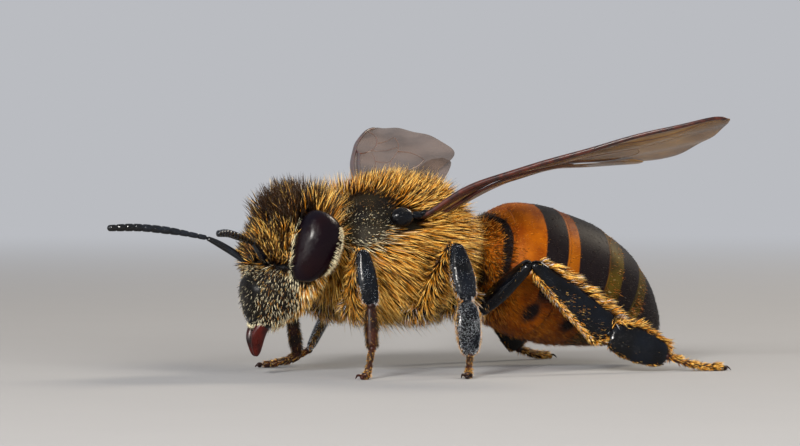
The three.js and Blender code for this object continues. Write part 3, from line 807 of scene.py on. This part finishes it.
LEGS = {}
for leg, joints in JOINTS.items():
    pair = leg.split("_")[0]
    joints = np.array(joints)
    hip, trochanter, knee, ankle, heel, toe = joints
    width_along = np.array(WIDTH_ALONG.get(leg, WIDTH_ALONG[pair]))
    skins = [leg_part(a, b, sizes, width_along, rounded)
             for a, b, sizes, rounded in zip(joints[:4], joints[1:5], LEG_SIZES[pair], LEG_ROUNDED)]
    bend = heel + (toe - heel) * 0.55
    bend[2] = toe[2] + 0.05
    across = unit(np.cross(toe - heel, UP))
    foot = tube([heel, bend, toe], [[FOOT_HALF * 0.9] * 2, [FOOT_HALF] * 2, [FOOT_HALF] * 2], across,
                rounded=0.05, relief=jointed(4, 0.3))
    skins.append(foot)
    LEGS[leg] = skins
    names = [f"leg_{leg}_{part}" for part in ("coxa", "femur", "tibia", "basitarsus", "tarsus")]
    joint_ball = ball(trochanter + (knee - trochanter) * 0.04, [THIGH_KNOB] * 3)
    hip_parts = [(skins[0], 30, 32)]
    if pair == "hind":
        hip_parts.append((ball(hip + HIND_SOCKET, HIND_SOCKET_HALF), 20, 24))
    put(f"{leg}_hip", *joined(*hip_parts), SKIN, "coat", [names[0]])
    put(f"{leg}_thigh", *joined((skins[1], 44, 32), (joint_ball, 16, 20)), CUTICLE, "cuticle", [names[1]])
    cover(f"{leg}_shank", skins[2], 60, 48, CUTICLE, "cuticle", [names[2]])
    first_foot, first_slot = (FOOT, "tarsus") if pair == "fore" else (CUTICLE, "cuticle")
    ankle_knob = ball(ankle, [ANKLE_KNOB] * 3)
    put(f"{leg}_first_foot", *joined((skins[3], 50, 44), (ankle_knob, 12, 16)), first_foot, first_slot,
        [names[3]])
    ahead = unit((toe - bend) * [1, 1, 0])
    claws = []
    for way in (-1, 1):
        root = toe + across * way * 0.05
        hook = [root, root + ahead * 0.12 + across * way * 0.08 + UP * 0.03,
                root + ahead * 0.24 + across * way * 0.1 - UP * 0.065]
        claws.append(tube(hook, [[0.04, 0.04], [0.032, 0.032], [0.01, 0.01]], UP + ahead * 0.3, rounded=0.1))
    pad = ball(toe + ahead * 0.1 - UP * 0.03, [0.07, 0.07, 0.06])
    heel_knob = ball(heel, [HEEL_KNOB] * 3)
    points, faces = joined((foot, 70, 18), *((claw, 14, 10) for claw in claws), (pad, 12, 14),
                           (heel_knob, 12, 14))
    points[:, 2] = np.maximum(points[:, 2], 0.0)  # the sole lies flat on the floor
    put(f"{leg}_foot", points, faces, FOOT, "tarsus", [names[4]])

# ---- wings ----

WING_ROOT = np.array([1.75, -0.4, 4.45])
# degrees: how far each wing turns out from straight back, lifts, twists at its root, twists on for each
# millimetre, and untwists over its middle
WING_POSE = {"left": (42, 15.5, 11, 0.4, 12), "right": (63.2, 13.1, 22, -3.1, 0)}
WING_ARCH, WING_ARCH_REACH = 0.54, 1.2
BLADE_HALF = 0.01           # half the thickness of a wing's skin
# the wings' edges, as points along the span and behind it
FORE_FRONT = [[0, 0], [1.9, -0.14], [3.9, -0.2], [5.8, -0.14], [7.4, -0.02], [8.6, 0.22], [9.2, 0.62]]
FORE_BACK = [[0, 0.5], [1.8, 1.15], [3.5, 1.8], [5.1, 2.55], [6.5, 3.0], [7.75, 2.4], [8.8, 1.4], [9.2, 0.7]]
HIND_FRONT = [[0.4, 0.55], [2, 0.95], [4, 1.45], [5.6, 2.05], [6.15, 2.6]]
HIND_BACK = [[0.4, 1.1], [1.6, 1.8], [3.2, 2.25], [4.7, 2.7], [5.8, 2.88], [6.15, 2.7]]


def on_wing(side, along, behind, rise):
    """Out along an arched span, back along a chord that twists, rise off the blade, with shallow pleats."""
    sign = SIGNS[side]
    turn, lift, twist_at_root, twist_on, dip = np.radians(WING_POSE[side])
    twist = (twist_at_root + twist_on * along - dip * hill(along - 3.0, 2.6))[..., None]
    span = np.array([sign * math.sin(turn) * math.cos(lift), math.cos(turn) * math.cos(lift), math.sin(lift)])
    level = np.array([-sign * math.cos(turn), math.sin(turn), 0])
    up = np.cross(level, span) * -sign
    arch = WING_ARCH * (1 - np.exp(-((along / WING_ARCH_REACH) ** 2)))
    pleat = (0.02 * np.sin(behind * 6.5 - 0.6) * smooth(0, 0.5, behind)
             + 0.012 * np.sin(along * 2.2 + behind * 3))
    chord = level * np.cos(twist) - up * np.sin(twist)
    return (WING_ROOT * [sign, 1, 1] + UP * arch[..., None] + span * along[..., None]
            + chord * behind[..., None] + up * (rise + pleat)[..., None])


def blade(side, front, back, drop):
    """A thin closed skin from front edge to back edge: a flat profile carried along the span."""
    def at(u, v):
        a, b = spline(front, u), spline(back, u)
        angle = 2 * np.pi * v
        share = (1 - boxy(np.cos(angle), 0.8)) / 2
        q = a + (b - a) * share[..., None]
        return on_wing(side, q[..., 0], q[..., 1], BLADE_HALF * np.sin(angle) - drop)
    return Skin(at)


def vein(side, line, thick, drop):
    """A tube along a line on the wing, thinning towards its end."""
    def at(u, v):
        q = spline(line, u)
        e = np.maximum(thick * (1 - 0.45 * u), 0.012) * np.sqrt(np.clip(np.minimum(u, 1 - u) / 0.02, 0.05, 1))
        step = unit(spline(line, np.minimum(u + 0.01, 1)) - spline(line, np.maximum(u - 0.01, 0)))
        angle = 2 * np.pi * v
        q = q + np.stack([-step[..., 1], step[..., 0]], -1) * (np.cos(angle) * e)[..., None]
        return on_wing(side, q[..., 0], q[..., 1], np.sin(angle) * e - drop)
    return Skin(at)


# each vein's half thickness and its line
FORE_VEINS = [
    (0.085, [[0.05, 0.03], [1.5, -0.1], [3, -0.19], [4.6, -0.19], [6, -0.12], [7.4, -0.01], [8.6, 0.24],
             [9.15, 0.6]]),
    (0.075, [[0.05, 0.24], [1.5, 0.1], [3, 0.02], [4.5, 0.0], [5.7, 0.02], [6.2, -0.04]]),
    (0.028, [[5.8, 0.0], [6.0, 0.3], [6.6, 0.5], [7.4, 0.6], [8.1, 0.56], [8.7, 0.32]]),
    (0.028, [[3.3, -0.02], [3.28, 0.35], [3.45, 0.75], [3.62, 1.02]]),
    (0.02, [[3.36, 0.42], [4.2, 0.5], [5.1, 0.52], [6.0, 0.42]]),
    (0.022, [[3.55, 0.9], [4.4, 0.92], [5.3, 1.02], [6.3, 1.22], [7.1, 1.26], [7.9, 1.14]]),
    (0.017, [[5.0, 0.52], [5.05, 0.78], [5.2, 1.02]]),
    (0.017, [[6.15, 0.4], [6.45, 0.8], [6.75, 1.25]]),
    (0.017, [[7.3, 0.62], [7.5, 0.9], [7.8, 1.14]]),
    (0.05, [[0.05, 0.32], [1.2, 0.46], [2.3, 0.74], [3.1, 0.98], [3.62, 1.05], [4.2, 1.4], [5.0, 1.78],
            [5.7, 2.05]]),
    (0.017, [[4.55, 0.94], [4.5, 1.3], [4.62, 1.58]]),
    (0.017, [[6.3, 1.22], [6.25, 1.7], [5.7, 2.05]]),
    (0.04, [[0.05, 0.45], [1.1, 0.78], [2.2, 1.2], [3.2, 1.66], [4.2, 2.12]]),
    (0.017, [[2.95, 0.95], [3.0, 1.25], [3.05, 1.58]]),
]
HIND_VEINS = [
    (0.04, [[0.5, 0.62], [2, 0.98], [3.4, 1.32], [4.4, 1.6]]),
    (0.028, [[3.0, 1.22], [4.0, 1.62], [5.0, 2.1], [5.7, 2.45]]),
    (0.03, [[0.5, 0.85], [1.6, 1.35], [2.6, 1.75], [3.8, 2.15], [4.6, 2.5]]),
    (0.02, [[2.5, 1.15], [2.6, 1.45], [2.6, 1.75]]),
]
VEIN_GRID = (46, 10)        # rows and columns of every vein
HIND_DROP = 0.07            # how far the hind wing lies under the fore wing
# the scale over the wing's root, its hinge and the knuckle behind: place, half sizes, rows and columns
WING_CAPS = [([1.83, -0.9, 4.5], [0.23, 0.36, 0.29], 40, 50),
             ([1.8, -0.42, 4.55], [0.17, 0.24, 0.13], 24, 30),
             ([1.9, -0.18, 4.62], [0.1, 0.18, 0.1], 20, 24)]
# the right wing's skin is given darker, greyer colours than the left's
MEMBRANES = {"left": membrane_finish("wing skin", "a27a3e", "6c4a20", 0.58),
             "right": membrane_finish("greyer wing skin", "6e5c52", "4a3c34", 0.58)}
for side, sign in SIGNS.items():
    for pair, front, back, veins, drop in (("fore", FORE_FRONT, FORE_BACK, FORE_VEINS, 0.0),
                                           ("hind", HIND_FRONT, HIND_BACK, HIND_VEINS, HIND_DROP)):
        cover(f"{side}_{pair}wing", blade(side, front, back, drop), 120, 80, MEMBRANES[side], "wing",
              [f"{pair}wing_{side}"], lambda u, v, p: {"smoke": hill(v, 0.2) + hill(v - 1.0, 0.2)})
        tubes = [(vein(side, line, thick, drop), *VEIN_GRID) for thick, line in veins]
        share = tubes[0][0].grid(*VEIN_GRID)[2]
        thin = [smooth(0.035, 0.012, thick * (1 - 0.45 * share)) * 0.6 for thick, _ in veins]
        put(f"{side}_{pair}wing_veins", *joined(*tubes), VEIN, "wing", marks={"thin": np.concatenate(thin)})
    caps = [(ball(np.array(place) * [sign, 1, 1], half), *counts) for place, half, *counts in WING_CAPS]
    put(f"{side}_wing_cap", *joined(*caps), CUTICLE, "cuticle", [f"tegula_{side}"])

# ---- coat ----

THORAX_TUFTS, THORAX_STRAYS = 12500, 5000
HEAD_TUFTS, MARGIN_TUFTS, LASH_TUFTS, LABRUM_TUFTS = 9500, 4600, 900, 400
PLATE_TUFTS = (4000, 6000, 4000, 4000, 3600, 3000)
# from the hip down to the foot
LEG_TUFTS = {"fore": (700, 1300, 3600, 1800, 500), "mid": (700, 1300, 3600, 4200, 500),
             "hind": (700, 300, 2400, 1500, 800)}
# how thickly they stand on the flat of the first foot joint
FIRST_FOOT_DENSITY = {"fore": 0.8, "mid": 1.0, "hind": 0.08}


def everywhere(u, v, p, n):
    return np.ones(len(p))


def shoulder(p):
    """1 on the two bald patches over the front of the back."""
    reach = np.linalg.norm((abs(p) * [1, -1, 1] - [1.0, -1.7, 4.6]) / [0.84, 0.9, 1.1], axis=1)
    return smooth(1.35, 0.7, reach) * (p[:, 1] < 0)


def thorax_density(u, v, p, n):
    """None at the wing caps and the waist, thicker on the bald patches, thinner on the mid flanks."""
    cap = np.minimum(*(np.linalg.norm((p - [way * 1.8, -0.8, 4.45]) / [0.5, 0.6, 0.4], axis=1)
                       for way in (-1, 1)))
    dip = hill(np.linalg.norm((abs(p) - [1.75, 0.35, 3.6]) / [9, 0.5, 0.6], axis=1), 1.0) * (p[:, 1] < 0)
    return (1 + 0.4 * shoulder(p)) * (1 - 0.5 * dip) * smooth(0.8, 1.1, cap) * smooth(2.3, 2.0, p[:, 1])


def thorax_style(u, v, p, n):
    """Erect above, forward over the neck, swept back on the flanks and hanging below."""
    _, y, z = p.T
    top, under = smooth(0.3, 0.85, n[:, 2]), smooth(-0.1, -0.7, n[:, 2])
    collar = smooth(-1.45, -2.0, y) * smooth(4.2, 4.8, z)
    flow = BACK * (1 - 1.3 * collar)[:, None] + UP * (0.6 * collar - 0.28 * (1 - top) - 0.4 * under)[:, None]
    bald, waist, rear = shoulder(p), smooth(1.1, 2.1, y), smooth(0.2, 1.2, y) * (1 - top)
    return {
        "flow": flow,
        "lift": (30 + 42 * top + 24 * collar * (1 - top) + 12 * under + 12 * rear) * (1 - 0.3 * bald),
        "length": (0.86 + 0.12 * under - 0.24 * top + 0.3 * collar) * (1 - 0.91 * bald) * (1 - 0.62 * waist),
        "droop": 0.26 - 0.14 * top, "dark": bald * 0.7 + 0.22 * top * (1 - bald),
        # the 0.06 * rear share of pale tufts on the rear flanks is painted light, brightening the shade under
        # the wing
        "thick": 0.0185 - 0.0138 * bald, "pale": 0.04 + 0.36 * bald * smooth(5.0, 4.4, z) + 0.06 * rear,
        "clump": 0.07, "jitter": 0.1,
    }


def stray_style(u, v, p, n):
    """Thin long hairs that stand out of the coat."""
    style = thorax_style(u, v, p, n)
    style.update({"length": style["length"] * 1.25, "thick": 0.008, "jitter": 0.16,
                  "lift": style["lift"] + 8})
    return style


def halves(skin, count, density, style, seed, rings=3):
    """Tufts for the left and the right half of a skin, each half with a seed of its own."""
    def half(left, own_seed):
        def own_density(u, v, p, n):
            return density(u, v, p, n) * ((p[:, 0] > 0) == left)
        return tufts(skin, count // 2, own_density, style, own_seed, rings)

    return half(True, seed), half(False, seed + 1)


for side, tuft, strays in zip(SIGNS, halves(THORAX, THORAX_TUFTS, thorax_density, thorax_style, seed=11),
                              halves(THORAX, THORAX_STRAYS, thorax_density, stray_style, seed=13, rings=2)):
    coat(f"thorax_coat_{side}", [tuft, strays], COAT)


def head_zones(p):
    q = to_head(p)
    x, f, z = abs(q[:, 0]), -q[:, 1], q[:, 2]
    eye = np.minimum(eye_depth(q, 1), eye_depth(q, -1))
    clypeus = smooth(1.1, 0.9, (x / 0.6) ** 2 + ((z + 1.12) / 0.66) ** 2) * smooth(0.1, 0.4, f)
    return x, f, z, eye, clypeus


JOWL = 0.4      # how much further back the cheeks' short hair runs low on the head


def past_jowl(f, z):
    """How far ahead a point is of the line behind which the rays of long hair begin."""
    return f + JOWL * smooth(-0.4, -1.2, z)


def head_density(u, v, p, n):
    x, f, z, eye, clypeus = head_zones(p)
    cheek = smooth(-0.1, -0.45, z) * smooth(0.0, 0.3, past_jowl(f, z))
    gena = smooth(0.2, -0.1, past_jowl(f, z)) * smooth(0.6, 0.2, z)
    return (smooth(1.02 + 0.06 * gena, 1.06 + 0.14 * gena, eye)
            * (1 - 0.55 * cheek) * (1 - 0.5 * gena) * (1 - 0.6 * clypeus)
            * (1 - 0.7 * smooth(0.2, 0.7, -f) * hill(x, 0.8)) * (z > -1.75) * (1 + hill(z + 0.2, 0.14)))


def head_style(u, v, p, n):
    """Long and dark on the crown, gold on the brow, short and pale on the cheeks, in rays behind the eyes."""
    x, f, z, eye, clypeus = head_zones(p)
    crown = smooth(0.75, 1.25, z)
    brow = smooth(-0.35, 0.0, z) * (1 - crown) * smooth(-0.2, 0.2, f)
    behind = smooth(0.25, -0.1, past_jowl(f, z)) * (1 - crown)
    rays = behind * smooth(0.2, -0.4, z)
    cheek = (1 - crown) * (1 - brow) * (1 - behind)
    way = np.sign(p[:, 0:1])
    from_eye = unit(p - from_head(EYE_PLACE) * (way * [1, 0, 0] + [0, 1, 1]))
    flow = (UP * (1.0 * crown + 0.35 * brow - 0.8 * cheek)[:, None]
            + way * [1.0, 0, 0] * (0.25 * brow)[:, None]
            + BACK * (crown * (0.7 * smooth(0.1, -0.5, f) - 0.3 * smooth(-0.3, 0.2, f)) + 0.2 * behind
                      - 0.1 * cheek)[:, None] + from_eye * behind[:, None])
    near_eye = hill(eye - 1.05, 0.08) * smooth(-0.35, 0.1, f) * smooth(1.0, 0.6, z)
    parting = hill(z + 0.2, 0.14) * smooth(0.1, 0.4, f)
    nose, chin = clypeus * smooth(0.5, 0.2, x), smooth(-1.25, -1.6, z) * smooth(0.3, 0.0, f)
    return {
        "flow": flow, "lift": 68 * crown + 54 * brow + 44 * behind + (46 + 14 * nose) * cheek + 14 * parting,
        "length": ((1.02 + 0.25 * smooth(0.0, -0.4, f)) * crown + 0.58 * brow + 0.45 * behind
                   + (0.15 - 0.02 * nose) * cheek + 0.14 * chin + 0.04 * parting) * (1 - 0.5 * near_eye),
        "dark": np.clip(0.5 * crown * smooth(-0.4, 0.1, f) + 0.3 * crown + 0.55 * brow + 0.5 * nose
                        + 0.6 * cheek, 0, 1),
        "pale": np.clip((0.36 - 0.14 * nose) * cheek + 0.1 * behind + 0.1 * rays + 0.6 * near_eye, 0, 1),
        "droop": 0.12, "thick": 0.016 - 0.01 * cheek + 0.002 * (crown + rays),
        "jitter": 0.13 - 0.05 * behind + 0.04 * crown,
        "clump": 0.1 * (1 - behind), "ragged": 0.35 + 0.2 * crown,
    }


def margin_density(u, v, p, n):
    """A fringe in a narrow band round the eyes. Few of its trial places lie in the band, so it is sparse."""
    _, _, z, eye, _ = head_zones(p)
    return (eye > 1.0) * (eye < 1.22) * smooth(1.3, 0.9, z)


def margin_style(u, v, p, n):
    _, f, z, _, _ = head_zones(p)
    style = head_style(u, v, p, n)
    rear = smooth(0.3, 0.0, f)
    style.update({"length": 0.17 + 0.12 * rear, "lift": 50.0, "thick": 0.009,
                  "pale": 1.0 - 0.3 * rear - 0.45 * rear * smooth(0.1, -0.3, z), "dark": 0.0, "clump": 0.0,
                  "jitter": 0.1})
    return style


def lashes(eye, sign, seed):
    """A fringe that stands out from the rear rim of an eye."""
    def own(p):
        return to_eye(to_head(p), sign) / EYE_HALF

    def density(u, v, p, n):
        q = own(p)
        rear, low = smooth(0.62, 0.8, q[:, 1] + 0.1 * q[:, 2]), smooth(0.75, 0.4, q[:, 2])
        return rear * low * smooth(0.95, 0.75, abs(q[:, 0]))

    def style(u, v, p, n):
        low = smooth(0.5, -0.3, own(p)[:, 2])
        return {"flow": BACK - UP * 0.7 * low[:, None], "lift": 40.0, "length": 0.13 + 0.13 * low,
                "thick": 0.008, "pale": 0.75, "jitter": 0.1, "clump": 0.0}

    return tufts(eye, LASH_TUFTS, density, style, seed, rings=2)


def labrum_hair(u, v, p, n):
    return {"flow": -UP, "lift": 14.0, "length": 0.15, "pale": 0.9, "thick": 0.006}


def labrum_rim(u, v, p, n):
    return (n[:, 1] < 0.2) * (n[:, 2] < 0.1)


for side, tuft, fringe in zip(SIGNS, halves(HEAD, HEAD_TUFTS, head_density, head_style, seed=21),
                              halves(HEAD, MARGIN_TUFTS, margin_density, margin_style, seed=23, rings=2)):
    coat(f"head_coat_{side}", [tuft, fringe, lashes(EYES[side], SIGNS[side], seed=27)], COAT, "face_coat")
labrum_tufts = tufts(labrum, LABRUM_TUFTS, labrum_rim, labrum_hair, seed=29, rings=2)
coat("labrum_coat", [labrum_tufts], COAT, "face_coat")


def plate_tufts(i):
    """Short hair that lies back along a plate, longer on the flanks and at the waist, dark on the bands."""
    ring, marks = PLATES_MADE[i]

    def style(u, v, p, n):
        black = marks(u, v, p)["black"]
        flank = smooth(0.6, -0.4, n[:, 2])
        first = smooth(3.3, 2.6, p[:, 1])
        return {"flow": BACK - UP * 0.3, "lift": 16 + 10 * flank + 24 * first,
                "length": 0.11 + 0.09 * flank + 0.16 * first,
                "dark": black * 0.95 + 0.25 * first * (1 - black),
                "pale": (1 - black) * 0.15 * marks(u, v, p)["straw"], "thick": 0.0055 + 0.005 * first,
                "droop": 0.35}

    def density(u, v, p, n):
        return 1 + 0.2 * smooth(3.3, 2.5, p[:, 1])

    return tufts(ring, PLATE_TUFTS[i], density, style, seed=31 + i, rings=2, u_range=(0.1, 0.97))


for where, plates in (("front", (0, 1, 2)), ("rear", (3, 4, 5))):
    coat(f"abdomen_coat_{where}", [plate_tufts(i) for i in plates], BANDED_COAT, "abdomen")

for number, leg in enumerate(JOINTS):
    pair, side = leg.split("_")
    sign = SIGNS[side]
    heel, toe = np.array(JOINTS[leg][-2:])
    ahead = unit(toe - heel)
    hind = pair == "hind"

    def body_hair(u, v, p, n):
        return {"flow": -UP + BACK * 0.4, "lift": 35.0, "length": 0.42, "thick": 0.011, "pale": 0.2}

    def thigh_hair(u, v, p, n):
        if hind:
            return {"flow": -UP * 0.6 + BACK * 0.5, "lift": 20.0, "length": 0.08 + 0.16 * smooth(0.5, 0.1, u),
                    "thick": 0.006, "dark": 0.5}
        return {"flow": BACK * 0.9 - UP * 0.4, "lift": 32.0, "length": 0.46 - 0.36 * smooth(0.6, 0.95, u),
                "thick": 0.016}

    def edge(v):
        return smooth(0.75, 0.97, abs(np.cos(2 * np.pi * v)))

    def outer(v):
        return smooth(-0.1, 0.3, sign * np.sin(2 * np.pi * v))

    def upper(v):
        return smooth(-0.2, 0.2, np.cos(2 * np.pi * v))

    def shank_density(u, v, p, n):
        if hind:
            rows = outer(v) * (1 - upper(v)) * smooth(0.25, 0.45, u)
            return 0.006 + 1.3 * edge(v) * smooth(0.1, 0.3, u) + 0.8 * smooth(0.9, 0.97, u) + 0.12 * rows
        # fore and mid shanks: a thin pale pile all round, standing thickest in a stripe along the outer middle
        # that is a painted highlight
        return 0.3 + 0.8 * edge(v) + 1.2 * outer(v) * smooth(0.6, 0.2, abs(np.cos(2 * np.pi * v)))

    def shank_hair(u, v, p, n):
        if hind:
            long = edge(v)
            fringe = long * smooth(0, 0.3, u)
            return {"flow": ahead + n * 0.2, "lift": 24 + 26 * long,
                    "droop": 0.6, "jitter": 0.16, "clump": 0.3,
                    "length": 0.16 + (0.08 + 0.34 * upper(v)) * fringe + 0.1 * smooth(0.88, 0.97, u),
                    "thick": 0.0065 + 0.011 * long, "pale": 0.16 * long, "dark": 0.3 * (1 - long)}
        tuft = smooth(0.84, 0.92, u) * smooth(0.2, 0.6, np.cos(2 * np.pi * v))
        # pale away from the edges: the pile whose thick stripe on the outer middle is a painted highlight
        return {"flow": -UP * 0.8 + n * 0.3, "lift": 20 + 15 * edge(v),
                "length": 0.05 + 0.09 * edge(v) * smooth(0.3, 0.9, u) + 0.24 * tuft,
                "thick": 0.005 + 0.009 * tuft, "pale": 1.0 - 0.75 * edge(v) + 0.5 * tuft}

    def first_hair(u, v, p, n):
        long = edge(v)
        if hind:
            long = long * (0.25 + 0.75 * upper(v))
            return {"flow": ahead, "lift": 18 + 22 * long, "length": 0.06 + 0.32 * long,
                    "thick": 0.008 + 0.007 * long, "dark": 0.7 * (1 - long), "droop": 0.45, "clump": 0.3}
        if pair == "mid":
            return {"flow": -UP, "lift": 40.0, "length": 0.055 + 0.07 * long, "thick": 0.0045,
                    "pale": 1 - 0.8 * long}
        return {"flow": -UP, "lift": 40.0, "length": 0.09 + 0.09 * long, "thick": 0.0052, "dark": 0.75,
                "pale": 0.04}

    def foot_hair(u, v, p, n):
        return {"flow": ahead - UP * 0.3, "lift": 32.0, "length": 0.12 + 0.08 * hind,
                "thick": 0.0055 + 0.004 * hind, "dark": 0.2 * (1 - hind)}

    def above_floor(u, v, p, n):
        return smooth(-0.8, 0.2, n[:, 2]) + 0.1

    def first_density(u, v, p, n):
        return FIRST_FOOT_DENSITY[pair] + (pair != "mid") * edge(v)

    densities = (everywhere, everywhere, shank_density, first_density, above_floor)
    styles = (body_hair, thigh_hair, shank_hair, first_hair, foot_hair)
    lots = enumerate(zip(LEGS[leg], LEG_TUFTS[pair], densities, styles))
    coat(f"{leg}_coat", [tufts(skin, count, density, style, seed=101 + 10 * part + number, rings=2)
                         for part, (skin, count, density, style) in lots], LEG_COAT)

# ---- floor, light and camera ----

BACKDROP = paint("babcc1")
BACKDROP_RAYS = ("Is Camera Ray", "Is Glossy Ray", "Is Transmission Ray")
LOOK_AT = np.array([0, 0, 4.3])
AZIMUTH, ELEVATION = math.radians(62), math.radians(1)
DISTANCE, LENS, SENSOR = 110, 170.8, 36     # millimetres
NEAREST, FURTHEST = 0.002, 20               # metres between which the camera sees
FLOOR_RADIUS, FLOOR_SIDES = 2, 64           # metres, and straight edges round the disc
FLOOR_FADE = (0.02, 0.2)                    # metres out over which the floor fades
GLOW, GLOW_STRENGTH = (0.9, 0.93, 1.0, 1), 0.12
CAMERA_WAY = np.array([math.sin(AZIMUTH) * math.cos(ELEVATION), -math.cos(AZIMUTH) * math.cos(ELEVATION),
                       math.sin(ELEVATION)])
CAMERA_RIGHT = np.array([math.cos(AZIMUTH), math.sin(AZIMUTH), 0])


def place_of(p):
    return tuple((np.asarray(p) + ORIGIN) * MM)


def floor():
    """A disc that takes the bee's shadow and fades to the backdrop's colour far off."""
    ring = 2 * np.pi * np.arange(FLOOR_SIDES) / FLOOR_SIDES
    rim = np.stack([np.cos(ring), np.sin(ring), ring * 0], -1) * FLOOR_RADIUS
    points = np.concatenate([[[0, 0, 0]], rim])
    mesh = bpy.data.meshes.new("floor")
    wedges = [(0, i + 1, (i + 1) % FLOOR_SIDES + 1) for i in range(FLOOR_SIDES)]
    mesh.from_pydata(points.tolist(), [], wedges)
    f = Finish("floor", Roughness=0.9)
    place = f.place()
    grain = f.noise(300, 4)
    f.set(Base_Color=f.mix(grain * 0.3, paint("aaaaac"), paint("a0a0a4")))
    reach = f.node("ShaderNodeVectorMath", {"operation": "LENGTH"}, {0: place}, "Value")
    glow = f.node("ShaderNodeEmission", inputs={"Color": BACKDROP, "Strength": 1.0})
    seen = [f.node("ShaderNodeLightPath", output=ray) for ray in BACKDROP_RAYS]
    far = reach.rise(*FLOOR_FADE) * seen[0].math("MAXIMUM", seen[1]).math("MAXIMUM", seen[2])
    blend = f.node("ShaderNodeMixShader", inputs={0: far, 1: Value(f, f.shader.outputs[0]), 2: glow})
    f.feed(f.tree.nodes["Material Output"].inputs["Surface"], blend)
    mesh.materials.append(f.material)
    disc = bpy.data.objects.new("floor", mesh)
    bpy.context.scene.collection.objects.link(disc)


def lamp(name, where, size, power, colour, glints=True):
    """A square area lamp that faces the bee. Without glints it is not mirrored in polished parts."""
    data = bpy.data.lights.new(name, "AREA")
    data.size, data.energy, data.color = size, power, colour
    light = bpy.data.objects.new(name, data)
    light.location = place_of(LOOK_AT + where)
    aim = Vector(tuple(-where))
    light.rotation_euler = aim.to_track_quat("-Z", "Y").to_euler()
    light.visible_glossy = glints
    bpy.context.scene.collection.objects.link(light)


def world():
    """An even grey glow that lights the bee, and the backdrop's colour where it is seen or reflected."""
    sky = bpy.data.worlds.new("studio")
    bpy.context.scene.world = sky
    sky.use_nodes = True
    tree = sky.node_tree
    tree.nodes.clear()
    path, out = tree.nodes.new("ShaderNodeLightPath"), tree.nodes.new("ShaderNodeOutputWorld")
    lit, seen = tree.nodes.new("ShaderNodeBackground"), tree.nodes.new("ShaderNodeBackground")
    lit.inputs[0].default_value, lit.inputs[1].default_value = GLOW, GLOW_STRENGTH
    seen.inputs[0].default_value, seen.inputs[1].default_value = BACKDROP, 1.0
    shown = path.outputs[BACKDROP_RAYS[0]]
    for ray in BACKDROP_RAYS[1:]:
        either = tree.nodes.new("ShaderNodeMath")
        either.operation = "MAXIMUM"
        tree.links.new(shown, either.inputs[0])
        tree.links.new(path.outputs[ray], either.inputs[1])
        shown = either.outputs[0]
    mix = tree.nodes.new("ShaderNodeMixShader")
    tree.links.new(shown, mix.inputs[0])
    tree.links.new(lit.outputs[0], mix.inputs[1])
    tree.links.new(seen.outputs[0], mix.inputs[2])
    tree.links.new(mix.outputs[0], out.inputs[0])


def camera():
    data = bpy.data.cameras.new("camera")
    data.lens, data.sensor_width, data.clip_start, data.clip_end = LENS, SENSOR, NEAREST, FURTHEST
    eye = bpy.data.objects.new("camera", data)
    eye.location = place_of(LOOK_AT + CAMERA_WAY * DISTANCE)
    eye.rotation_euler = Vector(tuple(-CAMERA_WAY)).to_track_quat("-Z", "Y").to_euler()
    bpy.context.scene.collection.objects.link(eye)
    bpy.context.scene.camera = eye


floor()
world()
camera()
# each lamp's place in millimetres from the point looked at, then its width in metres, watts and colour
lamp("key", CAMERA_WAY * 190 + UP * 80 - CAMERA_RIGHT * 60, 0.042, 0.48, (1.0, 0.97, 0.92))
lamp("rim", -CAMERA_WAY * 120 + UP * 150 + CAMERA_RIGHT * 150, 0.06, 0.3, (1.0, 0.88, 0.7))
lamp("front", CAMERA_WAY * 130 + UP * 20 - CAMERA_RIGHT * 150, 0.14, 0.14, (0.95, 0.97, 1.0))
lamp("fill", CAMERA_WAY * 170 + UP * 30 + CAMERA_RIGHT * 90, 0.16, 0.68, (1.0, 0.95, 0.88), False)
bpy.context.scene.view_settings.view_transform = "Standard"
